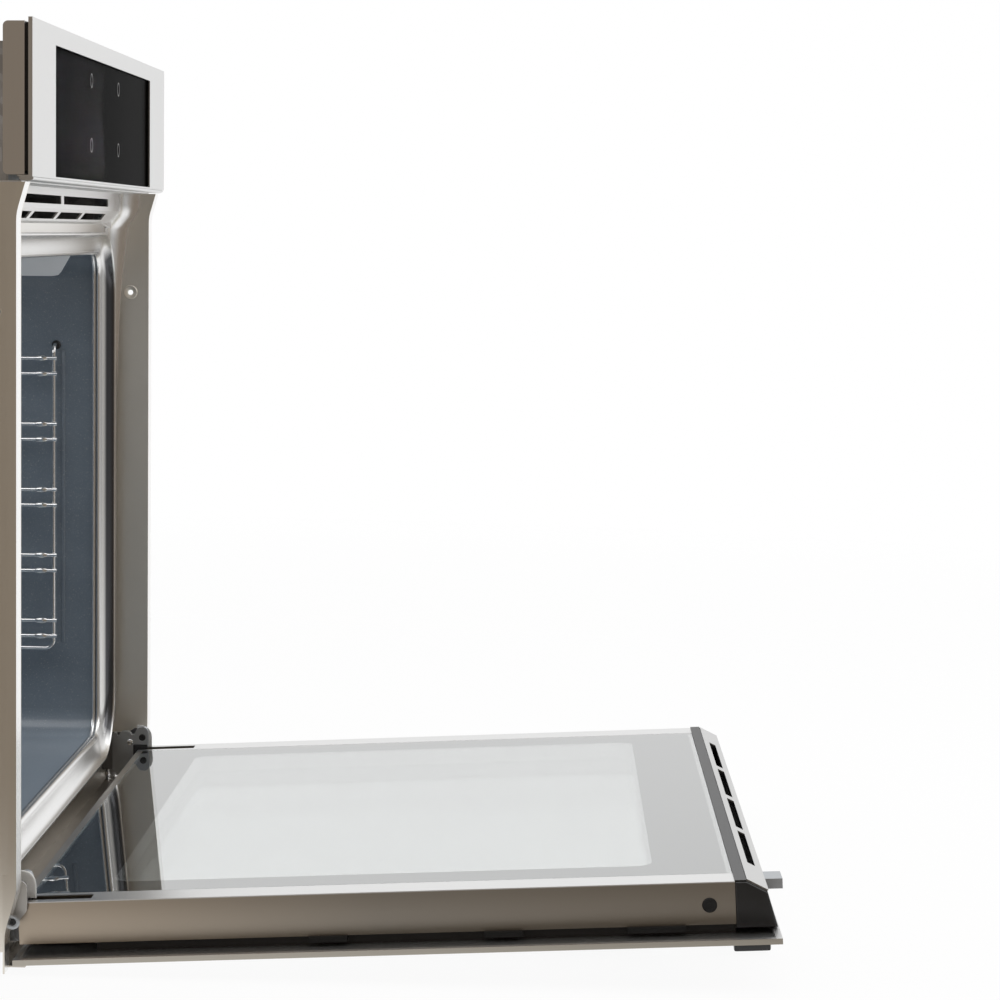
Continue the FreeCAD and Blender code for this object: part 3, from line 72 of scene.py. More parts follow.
# %% [markdown]
# ## Shader maths as Python
#
# A finish is easier to read as sums than as a web of links. `Value` wraps one output socket and
# turns Python's operators into Math nodes. `Graph` owns a node tree, and its `node` method adds any
# other node: settings first, then the sockets. `Finish` is the graph of one material.

# %% Value, Graph and Finish
MIX_FACTOR, MIX_FIRST, MIX_SECOND, MIX_RESULT = 0, 6, 7, 2


def opaque(colour):
    """A colour of three numbers with full alpha; anything else as it is."""
    if isinstance(colour, tuple) and len(colour) == 3:
        return (*colour, 1.0)
    return colour


def shade(colour, factor):
    """A darker or lighter colour."""
    return tuple(min(1.0, channel * factor) for channel in colour)


class Value:
    """An output socket that understands + - * < > and |, the greater of two."""

    def __init__(self, graph, socket):
        self.graph = graph
        self.socket = socket

    def _math(self, operation, first, second):
        return self.graph.node("ShaderNodeMath", {"operation": operation}, {0: first, 1: second})

    def __add__(self, other):
        return self._math("ADD", self, other)

    def __sub__(self, other):
        return self._math("SUBTRACT", self, other)

    def __rsub__(self, other):
        return self._math("SUBTRACT", other, self)

    def __mul__(self, other):
        return self._math("MULTIPLY", self, other)

    def __gt__(self, other):
        return self._math("GREATER_THAN", self, other)

    def __lt__(self, other):
        return self._math("LESS_THAN", self, other)

    def __or__(self, other):
        return self._math("MAXIMUM", self, other)


class Graph:
    """A node tree that is built from values."""

    def __init__(self, tree):
        self.tree = tree

    def node(self, kind, settings=None, inputs=None, output=0):
        made = self.tree.nodes.new(kind)
        for key, setting in (settings or {}).items():
            setattr(made, key, setting)
        for key, value in (inputs or {}).items():
            self.put(made.inputs[key], value)
        return Value(self, made.outputs[output])

    def put(self, socket, value):
        """Link a value to a socket, or set a constant on it."""
        if isinstance(value, Value):
            self.tree.links.new(value.socket, socket)
        else:
            socket.default_value = value

    def spread(self, value, low, high, to_low=0.0, to_high=1.0):
        """Stretch a range of a value onto another, clamped."""
        ends = {"From Min": low, "From Max": high, "To Min": to_low, "To Max": to_high}
        return self.node("ShaderNodeMapRange", None, {"Value": value, **ends})

    def mix(self, factor, first, second):
        """A colour between two colours."""
        inputs = {MIX_FACTOR: factor, MIX_FIRST: opaque(first), MIX_SECOND: opaque(second)}
        return self.node("ShaderNodeMix", {"data_type": "RGBA"}, inputs, output=MIX_RESULT)


class Finish(Graph):
    """One material: a Principled shader and the nodes that feed it."""

    def __init__(self, name, **sockets):
        self.material = bpy.data.materials.new(name)
        self.material.use_nodes = True
        super().__init__(self.material.node_tree)
        self.shader = self.tree.nodes["Principled BSDF"]
        self.feed(**sockets)

    def feed(self, **sockets):
        """Set the shader's own sockets; an underscore stands for a space."""
        for name, value in sockets.items():
            self.put(self.shader.inputs[name.replace("_", " ")], opaque(value))

    def place(self, scale=(1, 1, 1), turn=(0, 0, 0)):
        """Object coordinates in metres, scaled and turned."""
        coords = self.node("ShaderNodeTexCoord", output="Object")
        return self.node("ShaderNodeMapping", None, {"Vector": coords, "Rotation": turn, "Scale": scale})

    def axis(self, name):
        """One of the object coordinates."""
        coords = self.node("ShaderNodeTexCoord", output="Object")
        return self.node("ShaderNodeSeparateXYZ", None, {0: coords}, output=name)

    def noise(self, vector, scale, detail=2.0, roughness=0.5):
        inputs = {"Vector": vector, "Scale": scale, "Detail": detail, "Roughness": roughness}
        return self.node("ShaderNodeTexNoise", None, inputs)

    def cells(self, scale, output="Distance"):
        return self.node("ShaderNodeTexVoronoi", None, {"Vector": self.place(), "Scale": scale}, output)

    def bump(self, height, strength, distance):
        inputs = {"Height": height, "Strength": strength, "Distance": distance}
        self.feed(Normal=self.node("ShaderNodeBump", None, inputs))


finishes = {}


def dress(finish, *names):
    """Give CAD nodes a finish."""
    for name in names:
        slots = nodes[name].data.materials
        slots.clear()
        slots.append(finish.material)
    finishes[finish.material.name] = finish
    return finish


print("shader helpers ready")

# %% [markdown]
# ## Sheet steel
#
# Most of what shows is sheet steel. A brushed sheet has fine parallel scratches: noise that is
# stretched a few hundredfold along one axis gives them, and the same noise drives colour, roughness
# and bump, so that the streaks agree. The bright front and the warm folded sheet differ only in
# colour, grain and polish, so one function makes both. Where one sheet has two tones, they are told
# apart by place.

# %% Brushed and folded steel
GRAIN = {"X": (12, 4000, 4000), "Y": (4000, 12, 4000), "Z": (4000, 4000, 12)}
CLOUD_SIZE = (3, 3, 3)
CLOUD_SHARE = 0.8
MEAN = 0.5
TONES = (0.4, 0.6)
SHADES = (0.86, 1.14)
POLISH_SPREAD = 0.06
SCRATCH_DEPTH = 0.0005
BRIGHT_STEEL = (0.76, 0.76, 0.755)
DARK_STEEL = (0.22, 0.22, 0.225)
LOW_SHADE_FULL, LOW_SHADE_NONE = 0.030, 0.060
RIM_INNER, RIM_OUTER = 0.3584, 0.3776
RIM_POLISH = 0.16
ZINC_START = 0.3485
ZINC_DULLNESS = 0.6


def brushed(name, colour, grain, roughness, streak=0.02, depth=0.006):
    """Steel with scratches along one axis."""
    finish = Finish(name, Metallic=1.0)
    scratches = finish.noise(finish.place(GRAIN[grain]), scale=1.0, detail=3.0, roughness=0.65)
    clouds = finish.noise(finish.place(CLOUD_SIZE), scale=2.0)
    tone = (scratches - MEAN) * streak + (clouds - MEAN) * (streak * CLOUD_SHARE) + MEAN
    dark, light = [shade(colour, factor) for factor in SHADES]
    finish.colour = finish.mix(finish.spread(tone, *TONES), dark, light)
    finish.polish = (scratches - MEAN) * POLISH_SPREAD + roughness
    finish.feed(Base_Color=finish.colour, Roughness=finish.polish)
    finish.bump(scratches, strength=depth, distance=SCRATCH_DEPTH)
    return finish


def plate_steel():
    """The plate round the mouth; below the mouth it is painted darker and warmer, a painted shade of the low
    recess.
    """
    finish = brushed("plate_steel", (0.84, 0.815, 0.78), "X", 0.32)
    # Painted shade: the plate's colour is darkened near the bottom, where the recess lies in shade.
    low = finish.spread(finish.axis("Z"), LOW_SHADE_FULL, LOW_SHADE_NONE, 1.0, 0.0)
    finish.feed(Base_Color=finish.mix(low, finish.colour, (0.55, 0.51, 0.455)))
    return finish


def trim_steel():
    """The side trims: warm folded sheet whose front rim is polished and painted lighter as a painted
    highlight.
    """
    finish = brushed("recess_steel", (0.90, 0.845, 0.765), "Z", 0.42)
    across = finish.axis("X")
    away = across * across
    rim = (away > RIM_INNER ** 2) * (away < RIM_OUTER ** 2)
    # Painted highlight: the front rim's colour is lightened; its lower roughness is real polish.
    finish.feed(Base_Color=finish.mix(rim, finish.colour, (0.95, 0.945, 0.935)))
    finish.feed(Roughness=finish.polish - rim * RIM_POLISH)
    return finish


def receiver_steel():
    """The hinge receivers are painted dark inside as painted shade; their outer faces are bare zinc."""
    # Painted shade: the dark base stands for the shade on the receivers' inner faces.
    finish = brushed("receiver_steel", DARK_STEEL, "Z", 0.42, streak=0.04)
    across = finish.axis("X")
    outer = across * across > ZINC_START ** 2
    finish.feed(Base_Color=finish.mix(outer, finish.colour, (0.62, 0.61, 0.59)))
    finish.feed(Metallic=1.0 - outer * ZINC_DULLNESS)
    return finish


stainless = dress(brushed("stainless", BRIGHT_STEEL, "X", 0.34),
                  "control_fascia", "handle_bar", "handle_posts")
dress(brushed("strip_steel", (0.60, 0.60, 0.595), "X", 0.36), "vent_strip")
dress(brushed("folded_steel", (0.82, 0.80, 0.775), "Z", 0.30), "control_housing", "mouth_screws")
vent_steel = dress(brushed("vent_steel", (0.92, 0.91, 0.895), "X", 0.42), "vent_grille")
arm_steel = dress(brushed("arm_steel", (0.46, 0.48, 0.50), "Z", 0.40),
                  "hinge_arm_left", "hinge_arm_right", "latch_tab")
dress(brushed("hinge_steel", DARK_STEEL, "Z", 0.42, streak=0.04),
      "door_hinge_left", "door_hinge_right", "hinge_pins", "convection_fan")
dress(plate_steel(), "mouth_frame", "bottom_trim", "door_bottom_rail")
recess_steel = dress(trim_steel(), "side_trim_left", "side_trim_right")
dress(receiver_steel(), "hinge_receiver_left", "hinge_receiver_right")
print("steel finishes:", sorted(finishes))

# %% [markdown]
# ## The door's own steel
#
# Two pieces of the door show two tones each. The channel at its side has a bright face beside the
# glass and a darker, warmer flank; the flank's dark tone is painted shade, and it is painted lighter
# towards the hinge as painted light. The skin's folded hem is darker and warmer than its front. Both
# are told apart by place: the hem by its distance from the middle, the bright face by its depth behind
# the door's front, which is the distance from the hinge turned back by the door's swing.

# %% Door steel
HINGE = Vector((0.0, -0.3177, 0.0088))
DOOR_OPEN = math.radians(87.1)
HINGE_DEPTH = 0.0143
BRIGHT_DEPTH = 0.0412
HEM_START = 0.3772
FLANK_LIGHT_START, FLANK_LIGHT_END = -0.34, -0.60


def skin_steel():
    finish = brushed("skin_steel", BRIGHT_STEEL, "X", 0.34)
    across = finish.axis("X")
    hem = across * across > HEM_START ** 2
    finish.feed(Base_Color=finish.mix(hem, finish.colour, (0.47, 0.44, 0.385)))
    return finish


def channel_steel():
    finish = brushed("door_steel", (0.335, 0.305, 0.265), "Y", 0.32)
    # Painted light and shade: the flank is dark as painted shade and is painted lighter towards the hinge.
    flank_light = finish.spread(finish.axis("Y"), FLANK_LIGHT_END, FLANK_LIGHT_START)
    flank = finish.mix(flank_light, finish.colour, (0.50, 0.425, 0.34))
    ahead = (finish.axis("Y") - HINGE.y) * math.cos(DOOR_OPEN)
    depth = ahead + (finish.axis("Z") - HINGE.z) * math.sin(DOOR_OPEN)
    bright = depth + HINGE_DEPTH > BRIGHT_DEPTH
    finish.feed(Base_Color=finish.mix(bright, flank, (0.74, 0.74, 0.735)))
    return finish


dress(skin_steel(), "door_skin")
dress(channel_steel(), "door_side_left", "door_side_right")
print("door steel done, hinge at", [round(c, 4) for c in HINGE])

# %% [markdown]
# ## Galvanised casing
#
# The casing is hidden in a cabinet, so it is left galvanised. Zinc freezes in flat crystals, the
# spangle, and a Voronoi texture with a random tone for each cell looks just like them.

# %% Galvanised sheet
SPANGLE = 95.0
ZINC_ROUGH, ZINC_ROUGH_SPREAD = 0.36, 0.18


def galvanised():
    finish = Finish("galvanised", Metallic=1.0)
    tone = finish.node("ShaderNodeSeparateColor", None, {0: finish.cells(SPANGLE, "Color")})
    finish.feed(Base_Color=finish.mix(tone, (0.46, 0.47, 0.48), (0.64, 0.65, 0.66)))
    finish.feed(Roughness=tone * ZINC_ROUGH_SPREAD + ZINC_ROUGH)
    return finish


dress(galvanised(), "base_pan", "side_panel_left", "side_panel_right", "rear_panel", "top_cover",
      "cooling_deck", "front_bulkhead", "air_duct", "junction_box", "conduit_bushing", "blower_housing")
print("casing galvanised")

# %% [markdown]
# ## Enamel
#
# The cavity is steel under fired glass: dark blue-grey, glossy, with pale specks that were in the
# slip. Towards the floor it is painted paler, as painted light. Two Voronoi layers of small dots at
# different sizes make the specks, and a slow noise gives the orange-peel ripple of a fired surface.

# %% Cavity enamel
FINE_SPECKS, FINE_EDGE, FINE_SHARE = 700.0, (0.22, 0.30), 0.5
COARSE_SPECKS, COARSE_EDGE = 260.0, (0.10, 0.16)
SPECK_SHARE = 0.45
FLOOR_LIGHT_FULL, FLOOR_LIGHT_NONE, FLOOR_LIGHT_SHARE = 0.05, 0.12, 0.55


def enamel():
    finish = Finish("enamel", Roughness=0.2, Coat_Weight=0.6, Coat_Roughness=0.3)
    fine = finish.spread(finish.cells(FINE_SPECKS), *FINE_EDGE, 1.0, 0.0)
    coarse = finish.spread(finish.cells(COARSE_SPECKS), *COARSE_EDGE, 1.0, 0.0)
    specks = fine * FINE_SHARE + coarse
    clouds = finish.noise(finish.place(), scale=40.0, detail=4.0)
    ground = finish.mix(clouds, (0.175, 0.215, 0.262), (0.225, 0.272, 0.325))
    # Painted light: the enamel is made paler towards the cavity's floor, where more light falls.
    low = finish.spread(finish.axis("Z"), FLOOR_LIGHT_FULL, FLOOR_LIGHT_NONE, FLOOR_LIGHT_SHARE, 0.0)
    floor_lit = finish.mix(low, ground, (0.34, 0.40, 0.465))
    finish.feed(Base_Color=finish.mix(specks * SPECK_SHARE, floor_lit, (0.50, 0.55, 0.60)))
    finish.bump(finish.noise(finish.place(), scale=160.0, detail=1.0), strength=0.12, distance=0.0006)
    return finish


fired = dress(enamel(), "cavity_liner", "fan_cover")
print("cavity enamelled")

# %% [markdown]
# ## Black mouldings, wire, heaters and the rest
#
# Moulded black plastic has a fine spark-eroded texture. Plated wire is bright with few marks. The
# heater tubes are oxidised nickel alloy, mottled from heat. The seal of the mouth is satin steel,
# and its cove is painted dark on the two upright sides, as painted shade.

# %% Small finishes
COVE_FRONT, COVE_BACK = (-0.2889, -0.2875), (-0.2815, -0.2793)
SHADE_FLANK_START, SHADE_FLANK_END = 0.302, 0.316
SATIN_SPREAD = 0.04
GRIT_SPREAD = 0.2
MARK_SPREAD = 0.12
TUBE_ROUGH, TUBE_SPREAD = 0.4, 0.3


def moulded(name, colour, roughness=0.40):
    finish = Finish(name)
    grit = finish.noise(finish.place(), scale=1800.0)
    finish.feed(Base_Color=finish.mix(grit, shade(colour, 0.8), shade(colour, 1.25)))
    finish.feed(Roughness=grit * GRIT_SPREAD + (roughness - GRIT_SPREAD / 2))
    finish.bump(grit, strength=0.08, distance=0.0003)
    return finish


def plated(name, colour, roughness):
    finish = Finish(name, Metallic=1.0)
    marks = finish.noise(finish.place((60, 60, 60)), scale=4.0, detail=3.0)
    finish.feed(Base_Color=finish.mix(marks, shade(colour, 0.9), colour))
    finish.feed(Roughness=marks * MARK_SPREAD + roughness)
    return finish


def satin(name, colour, roughness):
    """Steel with an even, fine-grained polish."""
    finish = Finish(name, Metallic=1.0)
    grain = finish.noise(finish.place(), scale=2600.0, detail=1.0)
    finish.colour = finish.mix(grain, shade(colour, 0.97), colour)
    finish.feed(Base_Color=finish.colour)
    finish.feed(Roughness=grain * SATIN_SPREAD + (roughness - SATIN_SPREAD / 2))
    return finish


def seal_steel():
    """The mouth's seal; its cove is painted dark on the two upright sides, a painted shade."""
    finish = satin("seal_steel", (0.86, 0.855, 0.845), 0.24)
    across, depth = finish.axis("X"), finish.axis("Y")
    cove = finish.spread(depth, *COVE_FRONT) * finish.spread(depth, *COVE_BACK, 1.0, 0.0)
    # Painted shade: the cove is darkened on the upright sides.
    dark = cove * finish.spread(across * across, SHADE_FLANK_START ** 2, SHADE_FLANK_END ** 2)
    finish.feed(Base_Color=finish.mix(dark, finish.colour, (0.085, 0.085, 0.09)))
    return finish


def oxidised():
    finish = Finish("heater_tube", Metallic=0.6)
    mottle = finish.noise(finish.place(), scale=90.0, detail=4.0, roughness=0.6)
    finish.feed(Base_Color=finish.mix(mottle, (0.045, 0.04, 0.038), (0.15, 0.13, 0.115)))
    finish.feed(Roughness=mottle * TUBE_SPREAD + TUBE_ROUGH)
    finish.bump(mottle, strength=0.2, distance=0.0004)
    return finish


def wool():
    finish = Finish("mineral_wool", Roughness=0.95)
    fibres = finish.noise(finish.place((300, 40, 300)), scale=3.0, detail=5.0, roughness=0.7)
    finish.feed(Base_Color=finish.mix(fibres, (0.50, 0.44, 0.28), (0.78, 0.72, 0.52)))
    finish.bump(fibres, strength=0.6, distance=0.002)
    return finish


def circuit_board():
    finish = Finish("circuit_board", Roughness=0.45)
    colours = {"Color1": (0.02, 0.16, 0.08), "Color2": (0.025, 0.20, 0.10), "Mortar": (0.10, 0.30, 0.16)}
    inputs = {key: opaque(colour) for key, colour in colours.items()}
    upright = finish.place(turn=(math.pi / 2, 0, 0))
    tracks = finish.node("ShaderNodeTexBrick", None, {"Vector": upright, "Scale": 90.0, **inputs}, "Color")
    finish.feed(Base_Color=tracks)
    return finish


black = dress(moulded("black_moulding", (0.018, 0.018, 0.019)),
              "control_spacer", "door_carrier", "door_top_rail", "blower_wheel")
soft_black = dress(moulded("soft_black", (0.006, 0.006, 0.006), 0.6), "door_clips")
wire = dress(plated("plated_wire", (0.95, 0.95, 0.94), 0.12),
             "ladder_left", "ladder_right", "temperature_probe")
dress(plated("pressed_motor", (0.34, 0.34, 0.35), 0.35), "fan_motor", "blower_motor", "lamp_socket")
dress(oxidised(), "broil_element", "bake_element", "ring_element")
dress(wool(), "insulation")
dress(circuit_board(), "control_board")
print("finishes so far:", len(finishes))

# %% [markdown]
# ## Glass
#
# The display is black touch glass, coated so that only a faint, soft gloss is left. The window panes
# are clear, with the green tint of float glass, and the inner one carries a heat mirror that turns
# part of the light back.

# %% Display and window glass
DISPLAY_ROUGH, DISPLAY_SPREAD = 0.20, 0.04
FLOAT_TINT = (0.98, 1.0, 0.995)
HAZE = 0.97


def display():
    finish = Finish("display_glass", Metallic=1.0, Specular_Tint=(0.05, 0.05, 0.05))
    smudge = finish.noise(finish.place(), scale=3.0)
    finish.feed(Base_Color=finish.mix(smudge, (0.018, 0.018, 0.019), (0.022, 0.022, 0.023)))
    finish.feed(Roughness=smudge * DISPLAY_SPREAD + DISPLAY_ROUGH)
    return finish


def window(name, clear, coating=0.0):
    """Float glass; the coating is the share of light that a heat mirror on it turns back."""
    finish = Finish(name, Roughness=0.0, Transmission_Weight=1.0, IOR=1.5, Metallic=coating)
    haze = finish.noise(finish.place(), scale=8.0)
    tint = shade(FLOAT_TINT, clear)
    finish.feed(Base_Color=finish.mix(haze, shade(tint, HAZE), tint))
    return finish


dress(display(), "display_glass")
dress(window("window_glass", 0.97), "outer_glass", "middle_glass", "lamp_lens")
dress(window("mirror_glass", 0.90, 0.38), "inner_glass")
print("glass done")

# %% [markdown]
# ## Making and placing small pieces
#
# Screws, rivets, plugs and prints are small pieces that the frame leaves out. Each starts as a few
# vertices that an operator turns, extrudes or bevels. Places are given in millimetres the way a
# fitter would: depth behind the fascia's face and height above the frame's lower edge. Pieces of
# the door are given on the shut door, and the door's own swing then opens them.

# %% Making and placing
FRONT, SILL, DOOR_FOOT = -332.0, -12.0, 19.0
DOOR_SWING = Matrix.Translation(HINGE) @ Matrix.Rotation(DOOR_OPEN, 4, "X") @ Matrix.Translation(-HINGE)
SMOOTH_BELOW = math.radians(35)
QUARTER = math.pi / 2
INWARDS = {-1: Matrix.Rotation(QUARTER, 4, "Y"), 1: Matrix.Rotation(-QUARTER, 4, "Y")}
FORWARDS = Matrix.Rotation(QUARTER, 4, "X")
BACKWARDS = Matrix.Rotation(-QUARTER, 4, "X")
SIDES = (-1, 1)
MERGE = 1e-7
VERT, FACE = bmesh.types.BMVert, bmesh.types.BMFace


def spot(x, depth, height):
    """A place on the oven, from millimetres."""
    return Vector((x, FRONT + depth, SILL + height)) * MM


def door_spot(x, depth, height):
    """A place on the shut door: depth behind its face, height above its lower edge."""
    return spot(x, depth, DOOR_FOOT + height)


def each_side(places):
    for side in SIDES:
        for place in places:
            yield side, place


def picked(geom, kind):
    """The elements of one kind among those that an operator returns."""
    return [element for element in geom if isinstance(element, kind)]


def edges_of(verts):
    return list(dict.fromkeys(edge for vert in verts for edge in vert.link_edges))


def round_edges(made, edges, radius, segments=4):
    bmesh.ops.bevel(made, geom=edges, offset=radius * MM, affect="EDGES", segments=segments, profile=0.5,
                    material=-1)


def lifted(made, faces, lift):
    """Extrude faces and return the new ones."""
    fresh = bmesh.ops.extrude_face_region(made, geom=faces)["geom"]
    bmesh.ops.translate(made, verts=picked(fresh, VERT), vec=lift)
    return picked(fresh, FACE)


def turned(made, outline, pose, steps=32):
    """Spin a half outline of (radius, height) in millimetres round Z, then pose it.

    An outline that stays clear of the axis is closed into a ring.
    """
    if outline[0][0]:
        outline = outline + outline[:1]
    points = [made.verts.new((radius * MM, 0, height * MM)) for radius, height in outline]
    lines = [made.edges.new(pair) for pair in zip(points, points[1:])]
    before = set(made.verts) - set(points)
    bmesh.ops.spin(made, geom=points + lines, cent=(0, 0, 0), axis=(0, 0, 1), angle=math.tau, steps=steps,
                   use_merge=True)
    fresh = [vert for vert in made.verts if vert not in before]
    bmesh.ops.remove_doubles(made, verts=fresh, dist=MERGE)
    fresh = [vert for vert in made.verts if vert not in before]
    bmesh.ops.transform(made, matrix=pose, verts=fresh)


def paired_blocks(made, place, low, high, bevel):
    """A box between two corners on the right and its twin on the left, their edges rounded."""
    for side in SIDES:
        ends = sorted((side * low[0], side * high[0]))
        start, end = place(ends[0], *low[1:]), place(ends[1], *high[1:])
        pose = Matrix.Translation((start + end) / 2) @ Matrix.Diagonal((*(end - start), 1.0))
        fresh = bmesh.ops.create_cube(made, size=1.0, matrix=pose)["verts"]
        round_edges(made, edges_of(fresh), bevel, segments=3)


def raised_plate(made, points, lift, bevel):
    """A flat face that is extruded, the edges of its new side rounded."""
    face = made.faces.new([made.verts.new(point) for point in points])
    top = lifted(made, [face], lift)[0]
    round_edges(made, list(top.edges), bevel)


def rounded_loop(made, place, across, along, depth, radius):
    """Edges of an upright rectangle, its corners rounded."""
    before = set(made.edges)
    (left, right), (low, top) = across, along
    corners = ((left, low), (right, low), (right, top), (left, top))
    points = [made.verts.new(place(x, depth, height)) for x, height in corners]
    made.faces.new(points)
    if radius:
        bmesh.ops.bevel(made, geom=points, offset=radius * MM, affect="VERTICES", segments=8, profile=0.5,
                        material=-1)
    return [edge for edge in made.edges if edge not in before]


def framed(made, place, across, along, radius, outline, sweep=1.0):
    """Carry a closed outline of (inset, depth) round a rectangle with rounded corners.

    Neighbouring points differ in depth, because a bridge between two loops in one plane can twist.
    Outside the rectangle the corners grow by `sweep` for each millimetre.
    """
    loops = []
    for inset, depth in outline:
        sides = [(low + inset, high - inset) for low, high in (across, along)]
        growth = sweep if inset < 0 else 1.0
        loops.append(rounded_loop(made, place, *sides, depth, radius - inset * growth))
    flat = [face for face in made.faces if len(face.verts) > 4]
    bmesh.ops.delete(made, geom=flat, context="FACES_ONLY")
    for first, second in zip(loops, loops[1:] + loops[:1]):
        bmesh.ops.bridge_loops(made, edges=first + second)


def settle(made, name, body, finish, pose=None):
    """Turn a finished bmesh into a piece that rides on a body."""
    bmesh.ops.recalc_face_normals(made, faces=made.faces)
    if pose:
        made.transform(pose)
    for face in made.faces:
        face.smooth = True
    mesh = bpy.data.meshes.new(name)
    made.to_mesh(mesh)
    made.free()
    mesh.set_sharp_from_angle(angle=SMOOTH_BELOW)
    mesh.materials.append(finish.material)
    piece = bpy.data.objects.new(name, mesh)
    bpy.context.scene.collection.objects.link(piece)
    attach(piece, body)
    print(name, "has", len(mesh.polygons), "faces")
    return piece


print("door swings", round(math.degrees(DOOR_OPEN), 1), "degrees")

# %% [markdown]
# ## Prints on glass
#
# The display carries four thin rings, the touch keys. The inner pane of the door has a broad dark
# border fired into its back, which hides the frame; the pane's gloss over it makes it look grey. A
# ring is a spun outline, and the border is filled between two loops. Pale spacer bars keep the
# panes apart: an outline carried round a frame.

# %% Rings, border and spacers
RING_PLACES = [(x, height) for x in (-78, 78) for height in (648.5, 704)]
RING_RADIUS = 6.25
RING_LINE = 0.9
RING_STEPS = 48
DISPLAY_FACE = 2.2
PRINT_THICKNESS = 0.12
PRINT_SPREAD = 0.1
BORDER_OUT = ((-312, 312), (10, 556))
BORDER_IN = ((-278, 278), (65, 499))
BORDER_DEPTH = 38.2
BORDER_ROUND = 14.0
SPACER_OUT = ((-284, 284), (60, 504))
SPACER_WALL = 4.0
SPACER_LEAN = 0.2
SPACER_DEPTHS = [(5.4, 17.8), (22.2, 37.8)]


def print_finish(name, colour, roughness):
    finish = Finish(name)
    screen = finish.noise(finish.place(), scale=900.0, detail=1.0)
    finish.feed(Base_Color=finish.mix(screen, shade(colour, 0.96), colour))
    finish.feed(Roughness=screen * PRINT_SPREAD + roughness)
    return finish


def display_rings():
    made = bmesh.new()
    inner = RING_RADIUS - RING_LINE
    section = [(inner, 0), (inner, PRINT_THICKNESS), (RING_RADIUS, PRINT_THICKNESS), (RING_RADIUS, 0)]
    for x, height in RING_PLACES:
        turned(made, section, Matrix.Translation(spot(x, DISPLAY_FACE, height)) @ FORWARDS, RING_STEPS)
    ink = print_finish("ring_print", (0.32, 0.32, 0.32), 0.4)
    settle(made, "display_rings", "chassis", ink)


def glass_border():
    made = bmesh.new()
    edges = rounded_loop(made, door_spot, *BORDER_OUT, BORDER_DEPTH, 0)
    edges += rounded_loop(made, door_spot, *BORDER_IN, BORDER_DEPTH, BORDER_ROUND)
    bmesh.ops.delete(made, geom=list(made.faces), context="FACES_ONLY")
    bmesh.ops.triangle_fill(made, use_beauty=True, edges=edges)
    bmesh.ops.solidify(made, geom=list(made.faces), thickness=PRINT_THICKNESS * MM)
    ink = print_finish("border_print", (0.03, 0.032, 0.033), 0.5)
    settle(made, "glass_border", "door", ink, DOOR_SWING)


def pane_spacers():
    made = bmesh.new()
    for near, far in SPACER_DEPTHS:
        section = [(0, near + SPACER_LEAN), (SPACER_WALL, near), (SPACER_WALL, far), (0, far - SPACER_LEAN)]
        framed(made, door_spot, *SPACER_OUT, BORDER_ROUND, section)
    bar = print_finish("spacer_bar", (0.93, 0.935, 0.935), 0.45)
    settle(made, "pane_spacers", "door", bar, DOOR_SWING)


display_rings()
glass_border()
pane_spacers()

# %% [markdown]
# ## Fixings
#
# Pressed rings stiffen the screw holes of the recess. Pan heads have a six-lobed recess: the top
# face is inset, every other pair of points of the new loop is pulled in, and the star goes down.
# Rivets and plugs are half outlines that are spun.

# %% Screws, rivets and plugs
HEAD_SEGMENTS = 24
HEAD_ROUND = 0.6
STAR_INSET = 0.22
STAR_PULL = 0.68
STAR_LEAN = 0.1
STAR_DEPTH = 0.6
RECESS_WALL = 356.8
TRIM_OUTSIDE = 358.0
LEAF_FACE = 346.2
RECEIVER_FACE = 347.0
DOOR_SIDE = 345.0
HOLE_PLACES = [(31.0, 512.0)]
LOW_BOLTS = [(19.1, 36.0)]
RIVET_PLACES = [(29.0, 52.0), (46.0, 36.0)]
LOBE_SCREWS = [(15.9, 55.8)]
PLUG_PLACES = [(24.0, 540.0)]
# Half outlines: radius, height.
PRESSED_RING = [(2.9, 0.0), (3.1, 0.15), (5.9, 1.5), (6.6, 1.6), (7.1, 1.2), (7.3, 0.0)]
SUNK_RING = [(2.6, 0.0), (2.8, 0.2), (3.8, 0.35), (5.2, 0.2), (5.8, 0.0)]
RIVET = [(0, 0.85), (1.2, 0.85), (2.2, 0.7), (2.9, 0.35), (3.1, 0.0), (3.1, -0.3), (0, -0.3)]
PLUG = [(0, 1.0), (3.4, 1.0), (3.9, 1.4), (5.2, 1.2), (5.8, 0.5), (5.8, -1.5), (0, -1.5)]
# Screw heads: radius, height.
LOBE_HEAD, LOW_HEAD = (4.2, 1.4), (2.8, 1.6)
INSIDE, OUTSIDE = 1, -1


def lobed_screw(made, pose, radius, height):
    """A pan head with a star recess, standing on Z."""
    fresh = bmesh.ops.create_circle(made, segments=HEAD_SEGMENTS, radius=radius * MM, cap_ends=True)["verts"]
    before = set(made.verts) - set(fresh)
    top = lifted(made, [fresh[0].link_faces[0]], (0, 0, height * MM))[0]
    round_edges(made, list(top.edges), height * HEAD_ROUND)
    faces = [face for face in made.faces if not before.issuperset(face.verts)]
    top = max(faces, key=lambda face: len(face.verts) * face.calc_center_median().z)
    bmesh.ops.inset_individual(made, faces=[top], thickness=radius * STAR_INSET * MM, depth=0.0)
    centre = top.calc_center_median()
    for i, vert in enumerate(top.verts):
        if i % 4 < 2:
            vert.co = centre + (vert.co - centre) * STAR_PULL
    bmesh.ops.inset_individual(made, faces=[top], thickness=STAR_LEAN * MM, depth=-height * STAR_DEPTH * MM)
    fresh = [vert for vert in made.verts if vert not in before]
    bmesh.ops.transform(made, matrix=pose, verts=fresh)


def side_fixings(name, finish, outline, face, places, facing=INSIDE):
    """Spun fixings on both side walls of the oven."""
    made = bmesh.new()
    for side, place in each_side(places):
        turned(made, outline, Matrix.Translation(spot(side * face, *place)) @ INWARDS[side * facing])
    settle(made, name, "chassis", finish)


